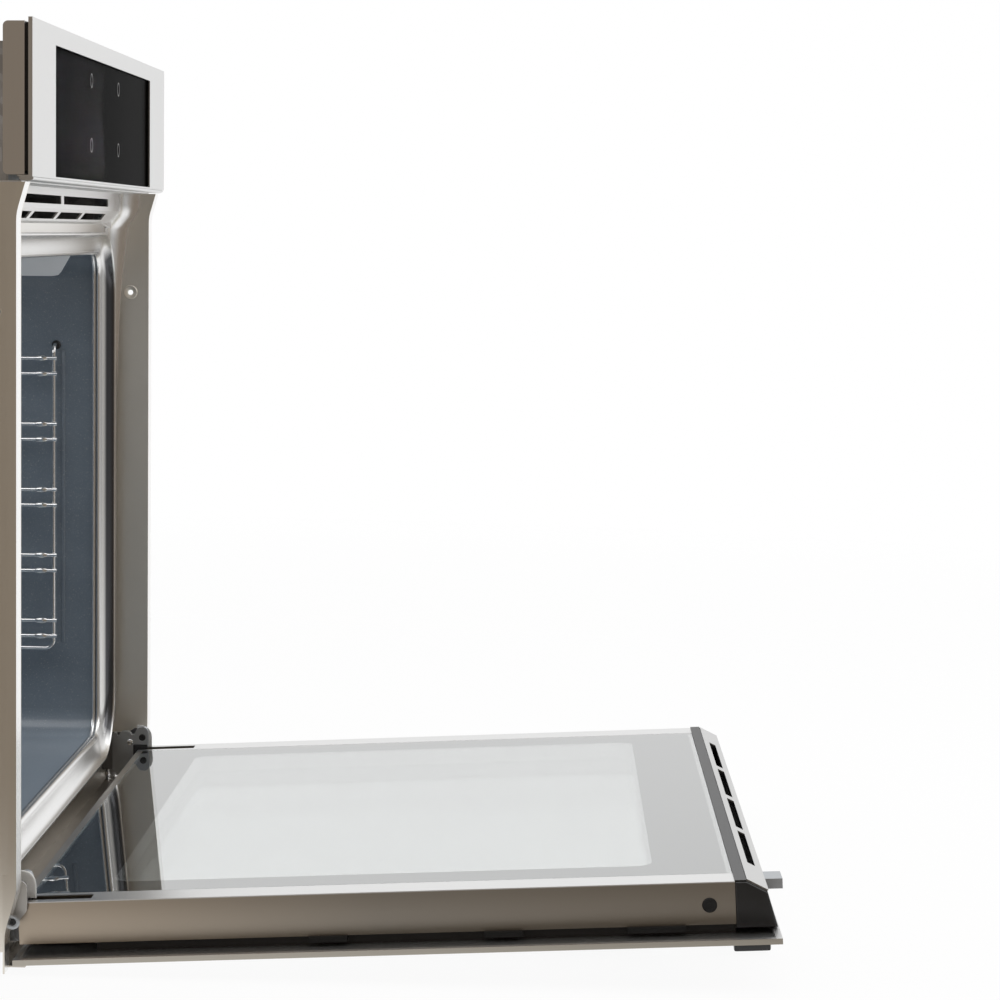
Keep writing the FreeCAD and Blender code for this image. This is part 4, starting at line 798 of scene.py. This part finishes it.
def side_screws(name, finish, face, places, head, facing=INSIDE):
    """Screws on both side walls of the oven."""
    made = bmesh.new()
    for side, place in each_side(places):
        lobed_screw(made, Matrix.Translation(spot(side * face, *place)) @ INWARDS[side * facing], *head)
    settle(made, name, "chassis", finish)


def door_plugs():
    made = bmesh.new()
    for side, place in each_side(PLUG_PLACES):
        turned(made, PLUG, Matrix.Translation(door_spot(side * DOOR_SIDE, *place)) @ INWARDS[-side])
    settle(made, "door_plugs", "door", soft_black, DOOR_SWING)


side_fixings("pressed_rings", recess_steel, PRESSED_RING, RECESS_WALL, HOLE_PLACES)
side_fixings("outer_rings", recess_steel, SUNK_RING, TRIM_OUTSIDE, HOLE_PLACES, OUTSIDE)
side_fixings("low_rings", arm_steel, SUNK_RING, TRIM_OUTSIDE, LOW_BOLTS, OUTSIDE)
side_fixings("leaf_rivets", arm_steel, RIVET, LEAF_FACE, RIVET_PLACES)
side_screws("lobe_screws", black, RECEIVER_FACE, LOBE_SCREWS, LOBE_HEAD)
side_screws("low_bolts", black, TRIM_OUTSIDE, LOW_BOLTS, LOW_HEAD, OUTSIDE)
door_plugs()

# %% [markdown]
# ## Ends and hems
#
# The black rail at the top of the door is closed by end caps with a soft edge: the rail's side view
# is drawn as one face, extruded and beveled. The handle's ends carry black caps too. The fascia's
# lower edge is a rolled hem, a round bar pressed flat.

# %% End caps and hem
CAP_OUTLINE = [(6.3, 560.4), (41.6, 560.4), (41.6, 568.8), (33.0, 584.6), (6.3, 591.4)]
CAP_RISE, CAP_BEVEL = 1.8, 1.3
HANDLE_CAP = ((260.0, -33.8, 562.2), (263.5, -24.2, 591.4))
HANDLE_BEVEL = 1.2
HEM_HALF = 372.0
HEM_PLACE = (5.8, 615.0)
HEM_DEEP, HEM_HIGH = 5.6, 2.2
HEM_SEGMENTS = 24


def rail_caps():
    made = bmesh.new()
    for side in SIDES:
        points = [door_spot(side * DOOR_SIDE, *place) for place in CAP_OUTLINE]
        raised_plate(made, points, (side * CAP_RISE * MM, 0, 0), CAP_BEVEL)
    settle(made, "rail_caps", "door", black, DOOR_SWING)


def handle_caps():
    made = bmesh.new()
    paired_blocks(made, door_spot, *HANDLE_CAP, HANDLE_BEVEL)
    settle(made, "handle_caps", "door", black, DOOR_SWING)


def fascia_hem():
    made = bmesh.new()
    start = Matrix.Translation(spot(-HEM_HALF, *HEM_PLACE)) @ INWARDS[-1]
    bmesh.ops.create_circle(made, cap_ends=True, segments=HEM_SEGMENTS, radius=HEM_DEEP * MM, matrix=start)
    level = Matrix.Translation((0, 0, -spot(0, *HEM_PLACE).z))
    bmesh.ops.scale(made, vec=(1, 1, HEM_HIGH / HEM_DEEP), space=level, verts=list(made.verts))
    lifted(made, list(made.faces), (2 * HEM_HALF * MM, 0, 0))
    settle(made, "fascia_hem", "chassis", stainless)


rail_caps()
handle_caps()
fascia_hem()

# %% [markdown]
# ## Casing screws
#
# The casing is screwed together through its folded edges: along the back, the sides and the top.

# %% Casing screws
CASING_BACK = 610.0
CASING_SIDE = 356.8
CASING_TOP = 720.0
BACK_SCREWS = [(x, height) for x in (-340, -170, 0, 170, 340) for height in (22, 708)]
BACK_SCREWS += [(x, height) for x in (-346, 346) for height in (190, 365, 540)]
SIDE_SCREWS = [(depth, height) for depth in (62, 598) for height in (22, 240, 470)]
TOP_SCREWS = [(x, depth) for x in (-345, 345) for depth in (60, 195, 330, 465, 598)]
CASING_HEAD = (4.2, 2.2)


def casing_screws():
    made = bmesh.new()
    poses = [Matrix.Translation(spot(x, CASING_BACK, height)) @ BACKWARDS for x, height in BACK_SCREWS]
    poses += [Matrix.Translation(spot(x, depth, CASING_TOP)) for x, depth in TOP_SCREWS]
    for side, place in each_side(SIDE_SCREWS):
        poses.append(Matrix.Translation(spot(side * CASING_SIDE, *place)) @ INWARDS[-side])
    for pose in poses:
        lobed_screw(made, pose, *CASING_HEAD)
    settle(made, "casing_screws", "chassis", plated("zinc_screw", (0.62, 0.62, 0.60), 0.28))


casing_screws()

# %% [markdown]
# ## The mouth
#
# A metal seal runs round the mouth. Seen in section it starts at a thin lip, sinks in a cove and
# rolls over a bead to a groove, where the enamelled liner begins with a pale rounded edge. The
# section is carried round the mouth's rounded rectangle.

# %% Mouth seal
MOUTH = ((-316, 316), (64, 554))
MOUTH_ROUND = 27.0
# Sections: inset, depth.
SEAL_SECTION = [
    (-18.8, 53.6), (-18.9, 44.2), (-18.3, 43.0), (-17.4, 42.55), (-16.5, 42.8), (-16.0, 43.7),
    (-15.4, 45.2), (-14.0, 47.2), (-12.0, 49.0), (-9.4, 50.6), (-6.6, 51.9), (-3.4, 53.0), (-0.4, 53.9),
    (1.5, 54.9), (2.7, 56.2), (3.2, 57.5), (2.8, 58.6), (1.5, 59.2), (-0.4, 59.0), (-0.4, 55.6),
]
SEAL_SWEEP = 2.3
LINER_EDGE = [(-0.4, 59.9), (1.2, 59.7), (2.4, 60.4), (2.9, 61.6), (2.7, 62.8), (1.6, 63.9), (-0.4, 64.1)]


def mouth_seal():
    made = bmesh.new()
    framed(made, spot, *MOUTH, MOUTH_ROUND, SEAL_SECTION, SEAL_SWEEP)
    piece = settle(made, "mouth_seal", "chassis", seal_steel())
    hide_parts("door_gasket")


def liner_edge():
    made = bmesh.new()
    framed(made, spot, *MOUTH, MOUTH_ROUND, LINER_EDGE)
    settle(made, "liner_edge", "chassis", satin("bare_edge", (0.86, 0.87, 0.88), 0.25))


mouth_seal()
liner_edge()

# %% [markdown]
# ## Pressed corners of the recess
#
# The grille and the back of the recess meet the side walls in a deep rounded corner that narrows
# downwards. It follows the grille's folds, which gives its S. A quarter arc is spun, closed over
# the corner, and extruded from station to station, scaled about the corner each time. The hollows
# at the foot of the walls are made in the same way. A bolt stands in each, and tapered toes close
# the ends of the grille's lower fold.

# %% Recess corners
CORNER_WALL = 356.9
CORNER_STEPS = 10
# Each station: height, depth of the corner, radius.
CORNER_STATIONS = [
    (611.8, 40.7, 21.0), (602.0, 40.7, 20.5), (595.0, 41.2, 19.5), (589.0, 45.0, 20.0), (583.0, 50.4, 21.0),
    (576.0, 54.1, 21.5), (564.0, 54.1, 20.5), (545.0, 54.1, 18.0), (520.0, 54.1, 15.5), (480.0, 54.1, 13.0),
    (420.0, 54.1, 11.0), (340.0, 54.1, 10.0), (200.0, 54.1, 9.4), (72.0, 54.1, 9.2),
]
FOOT = 13.1
# Each station: depth, radius.
FOOT_STATIONS = [(34.0, 2.0), (38.0, 6.0), (42.0, 10.0), (47.0, 12.5), (54.1, 13.5)]
FOOT_BOLT = (350.5, 54.0, 19.4)
FOOT_HEAD = (4.6, 3.6)
TOE = ((298.0, 49.3, 576.8), (346.0, 54.0, 583.2))
TOE_BEVEL = 1.4
TOE_TIP = 320.0
TOE_RISE = Vector((0.0, 1.6, 4.8))


def fill_corner(made, stations, back):
    """Round the corner between a side wall and a second face, from station to station.

    Each station is the corner and a radius; `back` points from the arc's centre to the second face.
    """
    corner, radius = stations[0]
    wall = Vector((1, 0, 0))
    centre = corner - (wall + back) * radius * MM
    start = made.verts.new(centre + back * radius * MM)
    bmesh.ops.spin(made, geom=[start], cent=centre, axis=back.cross(wall), angle=QUARTER, steps=CORNER_STEPS)
    face = made.faces.new(list(made.verts) + [made.verts.new(corner)])
    for step, (target, next_radius) in enumerate(stations[1:]):
        fresh = bmesh.ops.extrude_face_region(made, geom=[face])["geom"]
        if step:
            bmesh.ops.delete(made, geom=[face], context="FACES_ONLY")
        face = picked(fresh, FACE)[0]
        shrink = Matrix.Scale(next_radius / radius, 4)
        pose = Matrix.Translation(target) @ shrink @ Matrix.Translation(-corner)
        bmesh.ops.transform(made, matrix=pose, verts=picked(fresh, VERT))
        corner, radius = target, next_radius
    geom = list(made.verts) + list(made.edges) + list(made.faces)
    bmesh.ops.mirror(made, geom=geom, axis="X", merge_dist=-1)


def recess_corners():
    made = bmesh.new()
    stations = [(spot(CORNER_WALL, depth, height), radius) for height, depth, radius in CORNER_STATIONS]
    fill_corner(made, stations, Vector((0, 1, 0)))
    settle(made, "recess_corners", "chassis", corner_steel)


def foot_corners():
    made = bmesh.new()
    stations = [(spot(CORNER_WALL, depth, FOOT), radius) for depth, radius in FOOT_STATIONS]
    fill_corner(made, stations, Vector((0, 0, -1)))
    settle(made, "foot_corners", "chassis", corner_steel)


def foot_bolts():
    made = bmesh.new()
    x, *place = FOOT_BOLT
    for side in SIDES:
        lobed_screw(made, Matrix.Translation(spot(side * x, *place)) @ FORWARDS, *FOOT_HEAD)
    settle(made, "foot_bolts", "chassis", corner_steel)


def grille_toes():
    made = bmesh.new()
    paired_blocks(made, spot, *TOE, TOE_BEVEL)
    tips = [vert for vert in made.verts if abs(vert.co.x) < TOE_TIP * MM]
    bmesh.ops.translate(made, verts=tips, vec=TOE_RISE * MM)
    settle(made, "grille_toes", "chassis", vent_steel)


corner_steel = brushed("corner_steel", (0.97, 0.965, 0.955), "Z", 0.26)
recess_corners()
foot_corners()
foot_bolts()
grille_toes()

# %% [markdown]
# ## Hinge arms
#
# Each arm is a blanked plate: a lobe over the door, a smaller one behind it, and an eye for the
# pivot. Its outline and the eye are two loops of edges; the sheet between them is filled and made
# thick. A small stop is fixed to the arm's inner face and a guard to its outer face.

# %% Hinge arms
ARM_OUTLINE = [
    (9.8, 16.5), (12.5, 14.9), (27.0, 14.9), (33.0, 17.5), (43.0, 25.5), (48.6, 32.0), (48.4, 46.0),
    (43.4, 64.0), (41.8, 65.2), (40.2, 64.4), (39.4, 61.6), (37.6, 61.4), (36.2, 64.8), (34.4, 66.1),
    (28.4, 66.3), (26.2, 65.2), (24.4, 62.8), (22.0, 63.0), (20.0, 67.4), (17.2, 70.2), (12.4, 71.0),
    (9.4, 69.6), (7.8, 66.2), (7.8, 50.5), (9.7, 47.5),
]
ARM_EYE = (14.3, 20.8)
EYE_RADIUS = 4.4
EYE_SEGMENTS = 32
ARM_X = 330.0
ARM_HALF = 3.0
ARM_INNER, ARM_OUTER = ARM_X - ARM_HALF, ARM_X + ARM_HALF
ARM_RIVETS = [(26.2, 55.3)]
ARM_SCREWS = [(13.6, 60.4)]
ARM_HEAD = (3.4, 1.6)
ARM_STOP = ((325.4, 8.2, 40.5), (ARM_INNER, 22.6, 53.2))
ARM_STOP_BEVEL = 0.6
GUARD_OUTLINE = [
    (4.6, 49.6), (19.5, 49.6), (19.5, 71.8), (14.0, 71.5), (10.2, 70.2), (7.2, 67.6), (5.3, 64.0),
    (4.6, 60.0),
]
GUARD_RISE, GUARD_BEVEL = 2.4, 1.2


def hinge_arms():
    made = bmesh.new()
    for side in SIDES:
        face = side * ARM_X - ARM_HALF
        points = [made.verts.new(spot(face, *place)) for place in ARM_OUTLINE]
        edges = [made.edges.new(pair) for pair in zip(points, points[1:] + points[:1])]
        pose = Matrix.Translation(spot(face, *ARM_EYE)) @ INWARDS[1]
        eye = bmesh.ops.create_circle(made, segments=EYE_SEGMENTS, radius=EYE_RADIUS * MM, matrix=pose)
        edges += edges_of(eye["verts"])
        sheet = bmesh.ops.triangle_fill(made, use_beauty=True, edges=edges)["geom"]
        lifted(made, picked(sheet, FACE), (2 * ARM_HALF * MM, 0, 0))
    piece = settle(made, "hinge_arms", "chassis", arm_steel)
    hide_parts("hinge_arm_left", "hinge_arm_right")


def arm_stops():
    made = bmesh.new()
    paired_blocks(made, spot, *ARM_STOP, ARM_STOP_BEVEL)
    settle(made, "arm_stops", "chassis", soft_black)


def arm_guards():
    made = bmesh.new()
    for side in SIDES:
        points = [spot(side * ARM_OUTER, *place) for place in GUARD_OUTLINE]
        raised_plate(made, points, (side * GUARD_RISE * MM, 0, 0), GUARD_BEVEL)
    settle(made, "arm_guards", "chassis", moulded("zinc_grey", (0.74, 0.74, 0.725)))


hinge_arms()
arm_stops()
arm_guards()
side_fixings("arm_rivets", wire, RIVET, ARM_INNER, ARM_RIVETS)
side_screws("arm_screws", soft_black, ARM_INNER, ARM_SCREWS, ARM_HEAD)

# %% [markdown]
# ## Inside the cavity
#
# The rack ladders hang on their bent ends in black grommets, and each rail has a swaged stop near
# its front. A rib is pressed into each wall in front of the ladder. Frosted lamp covers lie across
# the corners between the walls and the ceiling, the lamp at the back has a bright bezel, and four
# screws hold the fan's cover.

# %% Ladders, ribs, covers and bezel
RAIL_X = 296.8
RAIL_FIRST, RAIL_STEP, RAIL_PAIR, RAIL_LEVELS = 167.3, 66.0, 15.6, 5
STOP_DEPTH = 112.0
STOP_STEPS = 16
# Half outlines: radius, height.
STOP = [(0, -6.0), (2.0, -6.0), (2.9, -3.6), (3.4, 0.0), (2.9, 3.6), (2.0, 6.0), (0, 6.0)]
GROMMET = [(2.1, -0.4), (2.1, 2.6), (3.4, 2.6), (4.4, 1.6), (4.6, -0.4)]
BEZEL = [(28.3, 0.0), (28.3, 7.0), (29.6, 9.0), (31.6, 9.0), (33.6, 6.5), (34.6, 0.0)]
BEZEL_STEPS = 64
BEZEL_PLACE = (210.0, 525.2, 465.0)
WALL = 316.0
GROMMETS = [(100.0, 459.6), (470.0, 459.6)]
RIB = ((314.8, 91.0, 158.0), (317.2, 95.0, 454.0))
RIB_BEVEL = 1.0
FAN_COVER_FACE = 481.2
FAN_COVER_SCREWS = [(x, height) for x in (-106, 106) for height in (203, 415)]
FAN_COVER_HEAD = (4.6, 2.2)
# A lamp cover's outline: depth, and the share of the way from the wall to the ceiling.
LAMP_COVER = [(81.0, 0.92), (94.0, 0.22), (97.5, 0.09), (104.0, 0.05), (240.0, 0.05), (240.0, 0.92)]
LAMP_COVER_FOOT, LAMP_COVER_HEAD = Vector((315.4, 528.0)), Vector((290.0, 553.4))
LAMP_COVER_RISE, LAMP_COVER_BEVEL = 1.6, 1.1
LAMP_COVER_GLOW = 0.10


def rail_stops():
    made = bmesh.new()
    levels = [RAIL_FIRST + RAIL_STEP * i + rise for i in range(RAIL_LEVELS) for rise in (0.0, RAIL_PAIR)]
    for side, level in each_side(levels):
        turned(made, STOP, Matrix.Translation(spot(side * RAIL_X, STOP_DEPTH, level)) @ FORWARDS, STOP_STEPS)
    settle(made, "rail_stops", "chassis", wire)


def cover_screws():
    made = bmesh.new()
    for x, height in FAN_COVER_SCREWS:
        lobed_screw(made, Matrix.Translation(spot(x, FAN_COVER_FACE, height)) @ FORWARDS, *FAN_COVER_HEAD)
    settle(made, "cover_screws", "chassis", wire)


def lamp_covers():
    made = bmesh.new()
    for side in SIDES:
        points = []
        for depth, share in LAMP_COVER:
            x, height = LAMP_COVER_FOOT.lerp(LAMP_COVER_HEAD, share)
            points.append(spot(side * x, depth, height))
        lift = Vector((-side, 0, -1)).normalized() * LAMP_COVER_RISE * MM
        raised_plate(made, points, lift, LAMP_COVER_BEVEL)
    frosted = print_finish("frosted_cover", (0.80, 0.82, 0.83), 0.3)
    frosted.feed(Emission_Color=(0.9, 0.95, 1.0), Emission_Strength=LAMP_COVER_GLOW)
    settle(made, "lamp_covers", "chassis", frosted)


def wall_ribs():
    made = bmesh.new()
    paired_blocks(made, spot, *RIB, RIB_BEVEL)
    settle(made, "wall_ribs", "chassis", fired)


def lamp_bezel():
    made = bmesh.new()
    turned(made, BEZEL, Matrix.Translation(spot(*BEZEL_PLACE)) @ FORWARDS, BEZEL_STEPS)
    settle(made, "lamp_bezel", "chassis", wire)


rail_stops()
cover_screws()
lamp_covers()
side_fixings("ladder_grommets", black, GROMMET, WALL, GROMMETS)
wall_ribs()
lamp_bezel()

# %% [markdown]
# ## The floor
#
# The photograph shows the oven on pure white, seen along its open door. The floor glows nearly
# white for the camera, steel and glass, keeps a soft shadow and fades out towards its edges.

# %% Floor
FLOOR_DROP = 0.0005
FLOOR_NEAR, FLOOR_REACH = -0.57, 4.0
FLOOR_GLOW = 0.92
FLOOR_NEAR_FADE = 0.10
FLOOR_FADE_START, FLOOR_FADE_END = 1.1, 3.2


def floor_white():
    finish = Finish("floor_white", Base_Color=(0.9, 0.9, 0.9), Roughness=0.9)
    path = finish.tree.nodes.new("ShaderNodeLightPath")
    kinds = ("Is Camera Ray", "Is Glossy Ray", "Is Transmission Ray")
    camera_ray, glossy, through = [Value(finish, path.outputs[kind]) for kind in kinds]
    seen = camera_ray | glossy | through
    matt = Value(finish, finish.shader.outputs[0])
    glow = finish.node("ShaderNodeEmission", None, {"Color": (1, 1, 1, 1), "Strength": 1.0})
    both = finish.node("ShaderNodeMixShader", None, {0: seen * FLOOR_GLOW, 1: matt, 2: glow})
    across, along = finish.axis("X"), finish.axis("Y")
    away = across * across + along * along
    solid = finish.spread(away, FLOOR_FADE_START ** 2, FLOOR_FADE_END ** 2, 1.0, 0.0)
    solid = solid * finish.spread(across, FLOOR_NEAR, FLOOR_NEAR + FLOOR_NEAR_FADE)
    clear = finish.node("ShaderNodeBsdfTransparent")
    faded = finish.node("ShaderNodeMixShader", None, {0: solid, 1: clear, 2: both})
    finish.put(finish.tree.nodes["Material Output"].inputs["Surface"], faded)
    return finish


def floor():
    made = bmesh.new()
    low = cad_box[0].z - FLOOR_DROP
    near, far = FLOOR_NEAR, FLOOR_REACH
    corners = [(near, -far), (far, -far), (far, far), (near, far)]
    made.faces.new([made.verts.new((x, y, low)) for x, y in corners])
    mesh = bpy.data.meshes.new("floor")
    made.to_mesh(mesh)
    made.free()
    mesh.materials.append(floor_white().material)
    piece = bpy.data.objects.new("floor", mesh)
    bpy.context.scene.collection.objects.link(piece)


floor()
print("floor laid at", round(cad_box[0].z, 4))

# %% [markdown]
# ## Light
#
# The world is a white room with two darker sides, alike for the camera, steel and glass. A dim wall
# behind the camera gives the side faces their warm tone, and the room in front of the oven is grey.
# Three soft lamps add light from above, from the front and inside the cavity.

# %% World and lamps
WHITE = (1.0, 1.0, 1.0)
# Each darker side: axis, where along it the shade starts and is full, colour.
ROOM_SIDES = [("Y", -0.45, -0.90, (0.30, 0.295, 0.29)), ("X", -0.15, -0.75, (0.21, 0.175, 0.14))]
# Each lamp: place, target, size, watts.
LAMPS = {
    "overhead": ((0.0, -0.6, 2.6), (0.0, -0.3, 0.2), (2.4, 2.4), 13.0),
    "front": ((0.2, -2.2, 1.3), (0.1, -0.05, 0.1), (1.2, 1.2), 8.0),
    "cavity": ((0.0, -0.03, 0.535), (0.0, -0.03, 0.0), (0.4, 0.34), 0.75),
}


def world():
    made = bpy.data.worlds.new("studio")
    bpy.context.scene.world = made
    made.use_nodes = True
    graph = Graph(made.node_tree)
    coords = graph.node("ShaderNodeTexCoord", output="Generated")
    tone = WHITE
    for axis, start, full, colour in ROOM_SIDES:
        along = graph.node("ShaderNodeSeparateXYZ", None, {0: coords}, output=axis)
        tone = graph.mix(graph.spread(along, start, full), tone, colour)
    back = graph.tree.nodes["Background"]
    graph.put(back.inputs["Color"], tone)
    graph.put(back.inputs["Strength"], 1.0)


def lamp(name, place, target, size, energy):
    light = bpy.data.lights.new(name, "AREA")
    light.shape = "RECTANGLE"
    light.size, light.size_y = size
    light.energy = energy
    held = bpy.data.objects.new(name, light)
    held.location = place
    held.rotation_euler = (Vector(target) - Vector(place)).to_track_quat("-Z", "Y").to_euler()
    bpy.context.scene.collection.objects.link(held)


world()
for name, settings in LAMPS.items():
    lamp(name, *settings)
print("lit by the world and", len(LAMPS), "soft lamps")

# %% [markdown]
# ## Camera
#
# The camera stands beside the oven and looks across its open door from a little above it.
# Its place, angles and lens were fitted to points of the photograph.

# %% Camera
CAMERA_PLACE = Vector((-2.55689, -0.72270, 0.56524))
CAMERA_YAW, CAMERA_PITCH, CAMERA_ROLL = 0.05706, -0.05898, 0.00747
CAMERA_LENS, CAMERA_SENSOR = 103.66, 36.0
CAMERA_SHIFT = (0.12, -0.10)
CAMERA_CLIP = 0.05


def camera():
    data = bpy.data.cameras.new("camera")
    data.sensor_width = CAMERA_SENSOR
    data.lens = CAMERA_LENS
    data.shift_x, data.shift_y = CAMERA_SHIFT
    data.clip_start = CAMERA_CLIP
    held = bpy.data.objects.new("camera", data)
    flat = math.cos(CAMERA_PITCH)
    ahead = Vector((math.cos(CAMERA_YAW) * flat, math.sin(CAMERA_YAW) * flat, math.sin(CAMERA_PITCH)))
    level = Vector((math.sin(CAMERA_YAW), -math.cos(CAMERA_YAW), 0.0))
    upright = level.cross(ahead)
    right = level * math.cos(CAMERA_ROLL) + upright * math.sin(CAMERA_ROLL)
    up = upright * math.cos(CAMERA_ROLL) - level * math.sin(CAMERA_ROLL)
    turn = Matrix((right, up, -ahead)).transposed().to_4x4()
    held.matrix_world = Matrix.Translation(CAMERA_PLACE) @ turn
    bpy.context.scene.collection.objects.link(held)
    bpy.context.scene.camera = held


camera()
bpy.context.scene.view_settings.view_transform = "Standard"
print("camera", round(CAMERA_PLACE.length, 2), "m from the middle of the base pan")
